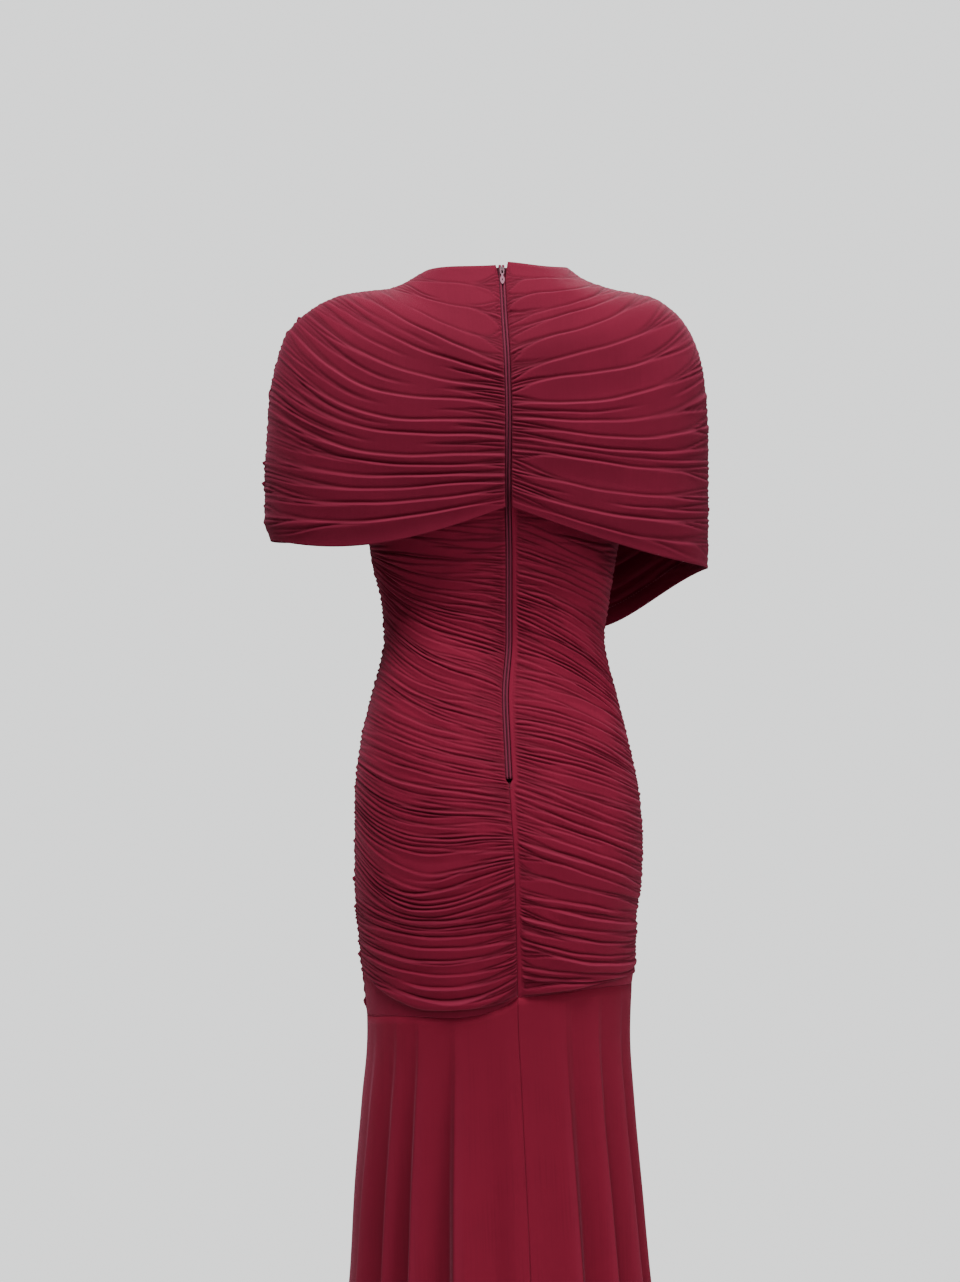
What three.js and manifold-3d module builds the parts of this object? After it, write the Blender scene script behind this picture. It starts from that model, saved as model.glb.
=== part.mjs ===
// A floor-length mermaid gown in gathered mesh jersey, held in the hollow form that it has when worn.
// Millimetres. x runs to the wearer's left, y to the back, z up; the origin is the middle of the neck
// opening at shoulder level, where the wearer carries the gown.
import * as THREE from "three";
import Module from "manifold-3d";
import { mergeVertices } from "three/addons/utils/BufferGeometryUtils.js";

const wasm = await Module();
wasm.setup();

// Driving dimensions
const CLOTH = 1.2; // wall of the plain cloth
const SEAM_GAP = 0.3; // clear space between two pieces at a seam
const NAPE_Z = 19; // top of the back neckline
const HEM_Z = -1449; // level floor-length hem
const ZIP_END_Z = -533; // lower end of the centre back zip, 550 long
const CHANNEL_HALF = 3.6; // half width of the open channel over the zip
const CHANNEL_LEAD = 9; // how far the open channel runs on below the zip
const CHANNEL_RUN = 12; // length over which it then closes
const NOTCH_HALF = 3.4; // how much wider each side opens at the neckline
const NOTCH_FOOT_Z = -2; // where the neckline notch begins
const SECTION_POWER = 2.2; // how square a level cut through the gown is
const BODY_FOLD = 3.4; // how far a gather of the bodice stands out
const COVERED_FOLD = 0.9; // the same where the shoulder drape lies over it
const CAPE_FOLD = 3.6; // how far a fold of the shoulder drape stands out
const SHOULDER_FOLD = 1; // the same over the shoulder
const FLUTE_DEPTH = 21; // half height of a skirt flute at the hem
const SIDE_COLUMNS = 6; // steps of a back panel from the centre line to the side seam
const FRONT_COLUMNS = 10; // steps of a front panel from side to side

const WINE_CAPE = 0x681a2b;
const WINE_BODY = 0x731d2e;
const WINE_SKIRT = 0x621422;
const WINE_ZIP = 0x541420;
const DULL_METAL = 0x6e5557;

// A table is a header of column names and one row of numbers for each section.
function table(header, rows) {
  const names = header.split(" ");
  return rows.map((row) => Object.fromEntries(names.map((name, i) => [name, row[i]])));
}

// A smooth curve through two columns of a table that never swings past its points.
function through(rows, from, to) {
  const points = rows.map((row) => [row[from], row[to]]).sort((a, b) => a[0] - b[0]);
  const last = points.length - 1;
  const rise = points.slice(1).map((p, i) => (p[1] - points[i][1]) / (p[0] - points[i][0]));
  const slope = points.map((p, i) => {
    if (i === 0) return rise[0];
    if (i === last) return rise[last - 1];
    if (rise[i - 1] * rise[i] <= 0) return 0;
    return (2 * rise[i - 1] * rise[i]) / (rise[i - 1] + rise[i]);
  });
  return (value) => {
    const v = Math.min(Math.max(value, points[0][0]), points[last][0]);
    let i = 0;
    while (i < last - 1 && v > points[i + 1][0]) i += 1;
    const span = points[i + 1][0] - points[i][0];
    const t = (v - points[i][0]) / span;
    const a = points[i][1];
    const b = points[i + 1][1];
    return (
      a * (1 + 2 * t) * (1 - t) ** 2 +
      slope[i] * span * t * (1 - t) ** 2 +
      b * t * t * (3 - 2 * t) +
      slope[i + 1] * span * t * t * (t - 1)
    );
  };
}

// The inside of the gown at each height: how far it reaches to the back and to the front,
// and where the centre back line runs from side to side.
const DEPTHS = table("z back front centre", [
  [19, 57, -58, -2],
  [-42, 84, -64, -3],
  [-100, 101, -98, -5],
  [-150, 103, -118, -6],
  [-210, 97, -129, -6],
  [-300, 76, -113, -9],
  [-385, 64, -95, -10],
  [-450, 78, -101, -5],
  [-500, 92, -105, -6],
  [-560, 107, -108, -8],
  [-610, 113, -108, -11],
  [-700, 108, -106, -14],
  [-785, 99, -102, -17],
  [-1090, 124, -119, -29],
  [-1449, 222, -192, -34],
]);

// Where the back and front bodice meet or end at the side: shoulder seam, armhole, side seam.
const BODY_SIDE = table("z left right armhole", [
  [11, 78, 78, 0],
  [-8, 116, 116, 0],
  [-13, 148, 148, 0],
  [-19, 163, 163, 0],
  [-60, 150, 150, 22],
  [-105, 141, 141, 28],
  [-140, 142, 142, 18],
  [-158, 147, 147, 0],
  [-210, 145, 145, 0],
  [-297, 134, 131, 0],
  [-341, 123, 124, 0],
  [-385, 119.5, 118.5, 0],
  [-407, 123, 122, 0],
  [-451, 135, 134, 0],
  [-495, 145, 145, 0],
  [-561, 152, 158, 0],
  [-605, 152, 161, 0],
  [-649, 152, 159, 0],
  [-693, 149, 153, 0],
  [-737, 145, 152, 0],
  [-785, 140, 147, 0],
  [-803, 139, 147, 0],
  [-891, 146, 152, 0],
  [-979, 154, 159, 0],
  [-1090, 161, 168, 0],
  [-1240, 182, 190, 0],
  [-1449, 238, 246, 0],
]);

// The gathered seam over the shoulder and down the arm, where the drape's back and front meet.
const CAPE_SIDE_LEFT = table("z across", [
  [15, 80],
  [-3, 116],
  [-7, 148],
  [-12, 173],
  [-36, 213],
  [-56, 229],
  [-78, 236],
  [-122, 245],
  [-165, 248],
  [-209, 250],
  [-253, 250],
  [-279, 244],
]);
const CAPE_SIDE_RIGHT = table("z across", [
  [22, 80],
  [11, 95],
  [6, 106],
  [-1, 130],
  [-7, 166],
  [-12, 180],
  [-35, 207],
  [-56, 219],
  [-78, 226],
  [-122, 232],
  [-165, 234],
  [-253, 234],
  [-308, 234],
]);

// The drape's own depth: it lies on the bodice at the neck and hangs clear of it below the bust.
const CAPE_DEPTHS = table("z back front", [
  [19, 60.2, -61.2],
  [-42, 87.4, -67.6],
  [-100, 105, -102],
  [-150, 108, -124],
  [-210, 104, -137],
  [-260, 97, -137],
  [-390, 80, -131],
]);

// Fold lines: their height at the centre back, at one and two thirds of the width and at the side,
// and how many gathers lie between each one and the next.
const BACK_LEFT_ROWS = table("centre third two_thirds edge gathers", [
  [12, 12, 10, 11, 1],
  [-44, -39, -27, -6, 1],
  [-96, -80, -56, -13, 1],
  [-119, -103, -77, -19, 1],
  [-142, -134, -114, -60, 1],
  [-163, -161, -149, -110, 1],
  [-187, -189, -183, -158, 3],
  [-305, -302, -297, -288, 3],
  [-354, -345, -334, -300, 2],
  [-387, -374, -358, -320, 3],
  [-432, -416, -401, -361, 4],
  [-492, -482, -467, -441, 3],
  [-535, -526, -514, -494, 4],
  [-585, -582, -579, -548, 4],
  [-643, -664, -670, -634, 2],
  [-676, -686, -687, -668, 1],
  [-693, -704, -706, -693, 3],
  [-748, -771, -770, -754, 1],
  [-762, -783, -785, -794, 0],
]);
const BACK_RIGHT_ROWS = table("centre third two_thirds edge gathers", [
  [16, 15, 11, 11, 1],
  [-44, -39, -27, -6, 1],
  [-96, -80, -56, -13, 1],
  [-119, -103, -77, -19, 1],
  [-142, -134, -114, -60, 1],
  [-163, -161, -149, -110, 1],
  [-187, -189, -183, -158, 3],
  [-284, -295, -306, -316, 3],
  [-329, -338, -353, -376, 2],
  [-360, -377, -400, -434, 5],
  [-455, -463, -479, -507, 2],
  [-481, -490, -508, -537, 2],
  [-508, -521, -535, -556, 2],
  [-548, -567, -587, -606, 2],
  [-580, -597, -614, -636, 2],
  [-610, -627, -644, -662, 2],
  [-652, -662, -672, -684, 2],
  [-681, -695, -706, -712, 3],
  [-726, -735, -740, -743, 1],
  [-762, -759, -756, -761, 0],
]);
const FRONT_ROWS = table("right_edge right centre left left_edge gathers", [
  [11, -27, -42, -27, 11, 1],
  [-6, -47, -62, -47, -6, 1],
  [-13, -68, -86, -68, -13, 1],
  [-19, -84, -105, -84, -19, 1],
  [-60, -108, -125, -108, -60, 1],
  [-110, -138, -150, -138, -110, 1],
  [-158, -176, -182, -176, -158, 4],
  [-316, -308, -300, -294, -288, 5],
  [-390, -386, -378, -370, -358, 8],
  [-504, -500, -492, -480, -465, 7],
  [-610, -612, -606, -598, -583, 5],
  [-675, -690, -692, -686, -668, 5],
  [-743, -766, -776, -774, -754, 1],
  [-761, -786, -797, -800, -794, 0],
]);
const CAPE_BACK_LEFT_ROWS = table("centre third two_thirds edge gathers", [
  [14, 13, 14, 15, 1],
  [-45, -36, -25, -1.5, 1],
  [-96, -77, -50, -7.5, 1],
  [-110, -92, -64, -15, 1],
  [-124, -113, -89, -30, 1],
  [-141, -134, -117, -46, 1],
  [-160, -156, -143, -73, 1],
  [-173, -171, -159, -100, 1],
  [-191, -193, -183, -133, 1],
  [-202, -203, -195, -160, 1],
  [-211, -214, -211, -182, 1],
  [-220, -225, -226, -202, 1],
  [-227, -239, -242, -225, 1],
  [-238, -254, -261, -248, 1],
  [-247, -275, -288, -277, 0],
]);
const CAPE_BACK_RIGHT_ROWS = table("centre third two_thirds edge gathers", [
  [18, 16, 16, 22, 1],
  [-30, -19, -12, 4, 1],
  [-63, -48, -32, -3, 1],
  [-84, -65, -46, -6.5, 1],
  [-108, -87, -67, -24, 1],
  [-123, -108, -92, -45, 1],
  [-137, -136, -121, -82, 1],
  [-153, -156, -149, -112, 1],
  [-163, -170, -170, -148, 1],
  [-173, -182, -186, -172, 1],
  [-185, -196, -203, -194, 1],
  [-207, -224, -232, -226, 1],
  [-224, -247, -257, -250, 1],
  [-238, -262, -277, -278, 1],
  [-247, -273, -294, -306, 0],
]);
const CAPE_FRONT_ROWS = table("right_edge right centre left left_edge gathers", [
  [22, -25, -40, -25, 15, 1],
  [4, -46, -64, -45, -1.5, 1],
  [-3, -68, -90, -65, -7.5, 1],
  [-6.5, -90, -116, -84, -15, 1],
  [-24, -114, -140, -104, -30, 1],
  [-45, -138, -162, -122, -46, 1],
  [-82, -164, -184, -140, -73, 1],
  [-112, -190, -205, -156, -100, 1],
  [-148, -216, -226, -172, -133, 1],
  [-172, -240, -246, -188, -160, 1],
  [-194, -264, -266, -204, -182, 1],
  [-226, -290, -285, -219, -202, 1],
  [-250, -316, -305, -234, -225, 1],
  [-278, -344, -325, -250, -248, 1],
  [-306, -370, -345, -267, -277, 0],
]);

// Skirt flutes: where each ridge and valley runs, as a share of the way from the centre line to the
// side seam, and how far it stands out (ridge) or in (valley) as a share of the full depth.
const FLUTES_BACK_LEFT = table("place height", [
  [0, 0],
  [0.07, 0.3],
  [0.2, -0.5],
  [0.42, 0.8],
  [0.462, -0.8],
  [0.66, 0.8],
  [0.688, -0.8],
  [0.803, 0.75],
  [0.831, -0.75],
  [0.935, 0.6],
  [0.963, -0.5],
  [1, -0.2],
]);
const FLUTES_BACK_RIGHT = table("place height", [
  [0, 0],
  [0.1, -0.2],
  [0.38, 0.8],
  [0.45, -0.75],
  [0.655, 0.8],
  [0.7, -0.8],
  [0.856, 0.7],
  [0.886, -0.7],
  [0.95, 0.5],
  [1, -0.2],
]);
const FLUTES_FRONT = table("place height", [
  [-1, -0.2],
  [-0.94, 0.6],
  [-0.9, -0.6],
  [-0.79, 0.75],
  [-0.75, -0.75],
  [-0.6, 0.7],
  [-0.55, -0.8],
  [-0.36, 0.8],
  [-0.3, -0.7],
  [-0.1, 0.6],
  [-0.02, -0.5],
  [0.14, 0.6],
  [0.3, -0.7],
  [0.36, 0.8],
  [0.54, -0.8],
  [0.59, 0.75],
  [0.74, -0.75],
  [0.78, 0.75],
  [0.89, -0.7],
  [0.93, 0.6],
  [1, -0.2],
]);
const COLUMN_ROOM = 0.025; // least space between two columns of a skirt panel, as such a share
const SKIRT_LEVELS = [0, 0.05, 0.14, 0.26, 0.4, 0.54, 0.68, 0.84, 1];

const backDepth = through(DEPTHS, "z", "back");
const frontDepth = through(DEPTHS, "z", "front");
const centreLine = through(DEPTHS, "z", "centre");
const bodyLeft = through(BODY_SIDE, "z", "left");
const bodyRight = through(BODY_SIDE, "z", "right");
const armhole = through(BODY_SIDE, "z", "armhole");
const capeLeft = through(CAPE_SIDE_LEFT, "z", "across");
const capeRight = through(CAPE_SIDE_RIGHT, "z", "across");
const capeBack = through(CAPE_DEPTHS, "z", "back");
const capeFront = through(CAPE_DEPTHS, "z", "front");

// Half of the space between the two backs: the zip's channel, then a plain seam.
function channelHalf(z) {
  const closed = Math.min(Math.max((ZIP_END_Z - CHANNEL_LEAD - z) / CHANNEL_RUN, 0), 1);
  const notch = NOTCH_HALF * Math.max((z - NOTCH_FOOT_Z) / (NAPE_Z - NOTCH_FOOT_Z), 0);
  return CHANNEL_HALF + (SEAM_GAP / 2 - CHANNEL_HALF) * closed + notch;
}

// The share of the width and of the depth that a level section has reached at turn 0 to 1.
function sectionShare(turn) {
  const angle = (turn * Math.PI) / 2;
  const power = 2 / SECTION_POWER;
  return { across: Math.sin(angle) ** power, deep: Math.abs(Math.cos(angle)) ** power };
}

// A half panel of the back, from its centre line (turn 0) to its side (turn 1).
function backSurface(rows, side, form) {
  const index = rows.map((row, i) => ({ ...row, i }));
  const heights = ["centre", "third", "two_thirds", "edge"].map((name) => through(index, "i", name));
  return (step, turn) => {
    const [centre, third, twoThirds, edge] = heights.map((height) => height(step));
    const share = sectionShare(turn);
    const edgeY = SEAM_GAP / 2 + form.sideDepth(edge);
    const startX = centreLine(centre) + side * channelHalf(centre);
    const across = form.across(side, edge);
    const f = share.across;
    const z =
      centre * ((1 - 3 * f) * (2 - 3 * f) * (1 - f)) / 2 +
      third * (9 * f * (2 - 3 * f) * (1 - f)) / 2 +
      twoThirds * (9 * f * (3 * f - 1) * (1 - f)) / 2 +
      edge * (f * (3 * f - 1) * (3 * f - 2)) / 2;
    const y = edgeY + (form.back(centre) - edgeY) * share.deep;
    return new THREE.Vector3(startX + (side * across - startX) * f, y, z);
  };
}

// A whole front panel, from the right side (turn -1) over the centre front to the left (turn 1).
function frontSurface(rows, form) {
  const index = rows.map((row, i) => ({ ...row, i }));
  const names = ["right_edge", "right", "centre", "left", "left_edge"];
  const heights = names.map((name) => through(index, "i", name));
  return (step, turn) => {
    const levels = heights.map((height) => height(step));
    const share = sectionShare(Math.abs(turn));
    const side = turn < 0 ? -1 : 1;
    const edge = side < 0 ? levels[0] : levels[4];
    const edgeY = -SEAM_GAP / 2 - form.sideDepth(edge);
    const f = side * share.across;
    const places = levels.map((z, i) => ({ f: i / 2 - 1, z }));
    const y = edgeY + (form.front(levels[2]) - edgeY) * share.deep;
    return new THREE.Vector3(f * form.across(side, edge), y, through(places, "f", "z")(f));
  };
}

const BODY_FORM = {
  across: (side, z) => (side > 0 ? bodyLeft(z) : bodyRight(z)),
  sideDepth: armhole,
  back: backDepth,
  front: frontDepth,
};
const CAPE_FORM = {
  across: (side, z) => (side > 0 ? capeLeft(z) : capeRight(z)),
  sideDepth: () => 0,
  back: capeBack,
  front: capeFront,
};

// A repeatable number from 0 to 1 that makes one fold differ from the next.
function uneven(i) {
  return 0.5 + 0.5 * Math.sin(i * 2.4 + Math.sin(i * 5.1));
}

// The steps of a gathered panel: a valley, a ridge close under it and the slope down to the next.
// Each step is a place along the rows and the share of a fold's height that it has there.
function gatherSteps(rows, slopePlaces) {
  const steps = [];
  let fold = 0;
  rows.forEach((row, i) => {
    for (let k = 0; k < row.gathers; k += 1) {
      const size = 0.65 + 0.35 * uneven(fold);
      slopePlaces.forEach(([place, height]) => {
        steps.push({ at: i + (k + place) / row.gathers, height: height * size });
      });
      fold += 1;
    }
  });
  steps.push({ at: rows.length - 1, height: 0 });
  return steps;
}

const TWO_STEP_FOLD = [
  [0, 0],
  [0.35, 1],
];
const THREE_STEP_FOLD = [
  [0, 0],
  [0.22, 1],
  [0.6, 0.55],
];

// Outward directions over a grid of points, turned at an edge so that it stays in its seam's plane.
function outwardDirections(grid, facing, flatAt) {
  const lastRow = grid.length - 1;
  const lastColumn = grid[0].length - 1;
  return grid.map((row, r) =>
    row.map((_, c) => {
      const along = new THREE.Vector3().subVectors(
        row[Math.min(c + 1, lastColumn)],
        row[Math.max(c - 1, 0)],
      );
      const down = new THREE.Vector3().subVectors(
        grid[Math.min(r + 1, lastRow)][c],
        grid[Math.max(r - 1, 0)][c],
      );
      const out = new THREE.Vector3().crossVectors(along, down).multiplyScalar(facing);
      if (c === 0 && flatAt.first) out[flatAt.first] = 0;
      if (c === lastColumn && flatAt.last) out[flatAt.last] = 0;
      if (r === 0 && flatAt.top) out[flatAt.top] = 0;
      if (r === lastRow && flatAt.bottom) out[flatAt.bottom] = 0;
      return out.normalize();
    }),
  );
}

// A closed wall from a grid of inside points and one of outside points.
function wall(inside, outside, facing) {
  const rows = inside.length;
  const columns = inside[0].length;
  const positions = [inside, outside].flatMap((grid) => grid.flat().flatMap((p) => [p.x, p.y, p.z]));
  const inner = (r, c) => r * columns + c;
  const outer = (r, c) => rows * columns + r * columns + c;
  const index = [];
  const face = (a, b, c, d) => {
    if (facing > 0) index.push(a, b, c, a, c, d);
    else index.push(a, c, b, a, d, c);
  };
  for (let r = 0; r < rows - 1; r += 1) {
    for (let c = 0; c < columns - 1; c += 1) {
      face(outer(r, c), outer(r, c + 1), outer(r + 1, c + 1), outer(r + 1, c));
      face(inner(r, c), inner(r + 1, c), inner(r + 1, c + 1), inner(r, c + 1));
    }
    face(inner(r, 0), outer(r, 0), outer(r + 1, 0), inner(r + 1, 0));
    const end = columns - 1;
    face(outer(r, end), inner(r, end), inner(r + 1, end), outer(r + 1, end));
  }
  for (let c = 0; c < columns - 1; c += 1) {
    const end = rows - 1;
    face(inner(0, c), inner(0, c + 1), outer(0, c + 1), outer(0, c));
    face(outer(end, c), outer(end, c + 1), inner(end, c + 1), inner(end, c));
  }
  const geometry = new THREE.BufferGeometry();
  geometry.setAttribute("position", new THREE.Float32BufferAttribute(positions, 3));
  geometry.setIndex(index);
  return geometry;
}

// A gathered panel: a plain inside, with the folds standing out of its outside.
function gatheredPanel({ surface, steps, turns, facing, flatAt, foldHeight }) {
  const inside = steps.map((step) => turns.map((turn) => surface(step.at, turn)));
  const outward = outwardDirections(inside, facing, flatAt);
  const outside = inside.map((row, r) =>
    row.map((point, c) => {
      const above = inside[Math.max(r - 1, 0)][c];
      const below = inside[Math.min(r + 1, steps.length - 1)][c];
      const room = Math.min(1, above.distanceTo(below) / (2 * foldHeight(point)));
      const height = CLOTH + steps[r].height * foldHeight(point) * room;
      return point.clone().addScaledVector(outward[r][c], height);
    }),
  );
  return wall(inside, outside, facing);
}

function evenSteps(from, to, count) {
  return Array.from({ length: count + 1 }, (_, i) => from + ((to - from) * i) / count);
}

const HALF_TURNS = evenSteps(0, 1, SIDE_COLUMNS);
const FRONT_TURNS = evenSteps(-1, 1, FRONT_COLUMNS);

// Gathers are low where the shoulder drape lies over them.
const bodyFoldHeight = (point) => {
  const covered = Math.min(Math.max((point.z + 290) / 40, 0), 1);
  return BODY_FOLD + (COVERED_FOLD - BODY_FOLD) * covered;
};
const frontFoldHeight = (point) => {
  const covered = Math.min(Math.max((point.z + 400) / 40, 0), 1);
  return BODY_FOLD + (COVERED_FOLD - BODY_FOLD) * covered;
};

// The hip seam of a bodice panel as straight stretches, so that the skirt's top runs along it.
function hipSeam(surface, lastStep, turns) {
  const points = turns.map((turn) => surface(lastStep, turn));
  return (turn) => {
    let i = 0;
    while (i < turns.length - 2 && turn > turns[i + 1]) i += 1;
    const t = (turn - turns[i]) / (turns[i + 1] - turns[i]);
    return new THREE.Vector3().lerpVectors(points[i], points[i + 1], t);
  };
}

// The columns of a skirt panel: those of the bodice above, every ridge and valley, and half way
// between two of these where no other column is near.
function skirtColumns(flutes, seamTurns) {
  const places = seamTurns.map((turn) => Math.sign(turn) * sectionShare(Math.abs(turn)).across);
  const addIfFree = (place) => {
    if (places.every((other) => Math.abs(other - place) > COLUMN_ROOM)) places.push(place);
  };
  flutes.forEach((row) => addIfFree(row.place));
  flutes.slice(1).forEach((row, i) => addIfFree((row.place + flutes[i].place) / 2));
  return places.sort((a, b) => a - b);
}

// A skirt panel: from the hip seam to the hem, with flutes that grow downward.
function skirtPanel({ seam, seamTurns, flutes, side, facing, flatAt }) {
  const places = skirtColumns(flutes, seamTurns);
  const height = through(flutes, "place", "height");
  const isFront = side === 0;
  const plain = places.map((place) => {
    const turn = (Math.sign(place) * Math.asin(Math.abs(place) ** (SECTION_POWER / 2)) * 2) / Math.PI;
    const top = seam(turn);
    top.z -= SEAM_GAP;
    const share = sectionShare(Math.abs(turn));
    return SKIRT_LEVELS.map((level) => {
      const z = top.z + (HEM_Z - top.z) * level;
      const own = isFront ? Math.sign(place) || 1 : side;
      const across = own * (own > 0 ? bodyLeft(z) : bodyRight(z));
      const startX = isFront ? 0 : centreLine(z) + (side * SEAM_GAP) / 2;
      const edgeY = (isFront ? -1 : 1) * (SEAM_GAP / 2);
      const depth = isFront ? frontDepth(z) : backDepth(z);
      const free = new THREE.Vector3(
        startX + (across - startX) * share.across,
        edgeY + (depth - edgeY) * share.deep,
        z,
      );
      const sewn = Math.max(0, 1 - level / SKIRT_LEVELS[2]);
      const nearSeam = new THREE.Vector3(top.x, top.y, z);
      return free.lerp(nearSeam, sewn * sewn);
    });
  });
  const grid = SKIRT_LEVELS.map((_, r) => plain.map((column) => column[r]));
  const push = outwardDirections(grid, facing, flatAt);
  const inside = grid.map((row, r) =>
    row.map((point, c) => {
      const grown = FLUTE_DEPTH * SKIRT_LEVELS[r];
      return point.clone().addScaledVector(push[r][c], grown * height(places[c]));
    }),
  );
  inside[inside.length - 1].forEach((point) => {
    point.z = HEM_Z;
  });
  const outward = outwardDirections(inside, facing, flatAt);
  const outside = inside.map((row, r) =>
    row.map((point, c) => point.clone().addScaledVector(outward[r][c], CLOTH)),
  );
  return wall(inside, outside, facing);
}

const gown = new THREE.Group();

function addPiece(name, geometry, colour, roughness = 0.85, metalness = 0) {
  const material = new THREE.MeshStandardMaterial({ color: colour, roughness, metalness });
  const mesh = new THREE.Mesh(geometry, material);
  mesh.name = name;
  gown.add(mesh);
  return mesh;
}

// Bodice and hip
const backLeft = backSurface(BACK_LEFT_ROWS, 1, BODY_FORM);
const backRight = backSurface(BACK_RIGHT_ROWS, -1, BODY_FORM);
const front = frontSurface(FRONT_ROWS, BODY_FORM);

const backFlat = { first: "x", last: "y", bottom: "z" };
const frontFlat = { first: "y", last: "y", bottom: "z" };
addPiece(
  "back_left_panel",
  gatheredPanel({
    surface: backLeft,
    steps: gatherSteps(BACK_LEFT_ROWS, TWO_STEP_FOLD),
    turns: HALF_TURNS,
    facing: 1,
    flatAt: backFlat,
    foldHeight: bodyFoldHeight,
  }),
  WINE_BODY,
);
addPiece(
  "back_right_panel",
  gatheredPanel({
    surface: backRight,
    steps: gatherSteps(BACK_RIGHT_ROWS, TWO_STEP_FOLD),
    turns: HALF_TURNS,
    facing: -1,
    flatAt: backFlat,
    foldHeight: bodyFoldHeight,
  }),
  WINE_BODY,
);
addPiece(
  "front_panel",
  gatheredPanel({
    surface: front,
    steps: gatherSteps(FRONT_ROWS, TWO_STEP_FOLD),
    turns: FRONT_TURNS,
    facing: -1,
    flatAt: frontFlat,
    foldHeight: frontFoldHeight,
  }),
  WINE_BODY,
);

// Shoulder drape
const capeFlat = { first: "x", last: "y" };
const capeFrontFlat = { first: "y", last: "y" };
const capeFoldHeight = (point) => {
  const high = Math.min(Math.max((point.z + 110) / 70, 0), 1);
  return CAPE_FOLD + (SHOULDER_FOLD - CAPE_FOLD) * high;
};
[
  ["cape_back_left", CAPE_BACK_LEFT_ROWS, 1],
  ["cape_back_right", CAPE_BACK_RIGHT_ROWS, -1],
].forEach(([name, rows, side]) => {
  addPiece(
    name,
    gatheredPanel({
      surface: backSurface(rows, side, CAPE_FORM),
      steps: gatherSteps(rows, THREE_STEP_FOLD),
      turns: HALF_TURNS,
      facing: side,
      flatAt: capeFlat,
      foldHeight: capeFoldHeight,
    }),
    WINE_CAPE,
  );
});
addPiece(
  "cape_front",
  gatheredPanel({
    surface: frontSurface(CAPE_FRONT_ROWS, CAPE_FORM),
    steps: gatherSteps(CAPE_FRONT_ROWS, TWO_STEP_FOLD),
    turns: FRONT_TURNS,
    facing: -1,
    flatAt: capeFrontFlat,
    foldHeight: capeFoldHeight,
  }),
  WINE_CAPE,
);

// Skirt
const skirtBackFlat = { first: "x", last: "y", top: "z", bottom: "z" };
const skirtFrontFlat = { first: "y", last: "y", top: "z", bottom: "z" };
addPiece(
  "skirt_back_left",
  skirtPanel({
    seam: hipSeam(backLeft, BACK_LEFT_ROWS.length - 1, HALF_TURNS),
    seamTurns: HALF_TURNS,
    flutes: FLUTES_BACK_LEFT,
    side: 1,
    facing: 1,
    flatAt: skirtBackFlat,
  }),
  WINE_SKIRT,
);
addPiece(
  "skirt_back_right",
  skirtPanel({
    seam: hipSeam(backRight, BACK_RIGHT_ROWS.length - 1, HALF_TURNS),
    seamTurns: HALF_TURNS,
    flutes: FLUTES_BACK_RIGHT,
    side: -1,
    facing: -1,
    flatAt: skirtBackFlat,
  }),
  WINE_SKIRT,
);
addPiece(
  "skirt_front",
  skirtPanel({
    seam: hipSeam(front, FRONT_ROWS.length - 1, FRONT_TURNS),
    seamTurns: FRONT_TURNS,
    flutes: FLUTES_FRONT,
    side: 0,
    facing: -1,
    flatAt: skirtFrontFlat,
  }),
  WINE_SKIRT,
);

// Zip
const ZIP_TOP_Z = 13;
const TAPE_FLANGE = 10; // how far a tape reaches under its panel
const TAPE_THICK = 1.2;
const TAPE_DROP = 0.9; // how far its outer edge falls away with the curve of the panel
const TAPE_BELOW = 1; // clear space under the panel
const ROLL_INNER = 0.25;
const ROLL_OUTER = 3.2;
const ROLL_PLAIN = 0.9; // how far the rolled edge rises between the two backs
const ROLL_UNDER_CAPE = 4; // the same where the drape's edges lie on them
const COIL_HALF = 2;
const COIL_THICK = 1.4;
const ZIP_STEP = 19; // length of one straight stretch of the zip

// A closed strip with one cross-section, given as x across and y out of the cloth, at each height.
function strip(levels, sectionAt) {
  const sections = levels.map((z) => {
    const slope = (backDepth(z + 1) - backDepth(z - 1)) / 2;
    const out = new THREE.Vector3(0, 1, -slope).normalize();
    return sectionAt(z).map(([x, y]) => {
      return new THREE.Vector3(centreLine(z) + x, backDepth(z), z).addScaledVector(out, y);
    });
  });
  const count = sections[0].length;
  const positions = sections.flat().flatMap((p) => [p.x, p.y, p.z]);
  const index = [];
  for (let s = 0; s < sections.length - 1; s += 1) {
    for (let i = 0; i < count; i += 1) {
      const a = s * count + i;
      const b = s * count + ((i + 1) % count);
      index.push(a, b, b + count, a, b + count, a + count);
    }
  }
  const outline = sectionAt(levels[0]).map(([x, y]) => new THREE.Vector2(x, y));
  const end = (sections.length - 1) * count;
  THREE.ShapeUtils.triangulateShape(outline, []).forEach(([a, b, c]) => {
    index.push(a, b, c, end + a, end + c, end + b);
  });
  const geometry = new THREE.BufferGeometry();
  geometry.setAttribute("position", new THREE.Float32BufferAttribute(positions, 3));
  geometry.setIndex(index);
  return geometry;
}

function rollHeight(z) {
  const covered = Math.min(Math.max((z + 250) / 20, 0), 1);
  return ROLL_PLAIN + (ROLL_UNDER_CAPE - ROLL_PLAIN) * covered;
}

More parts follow.
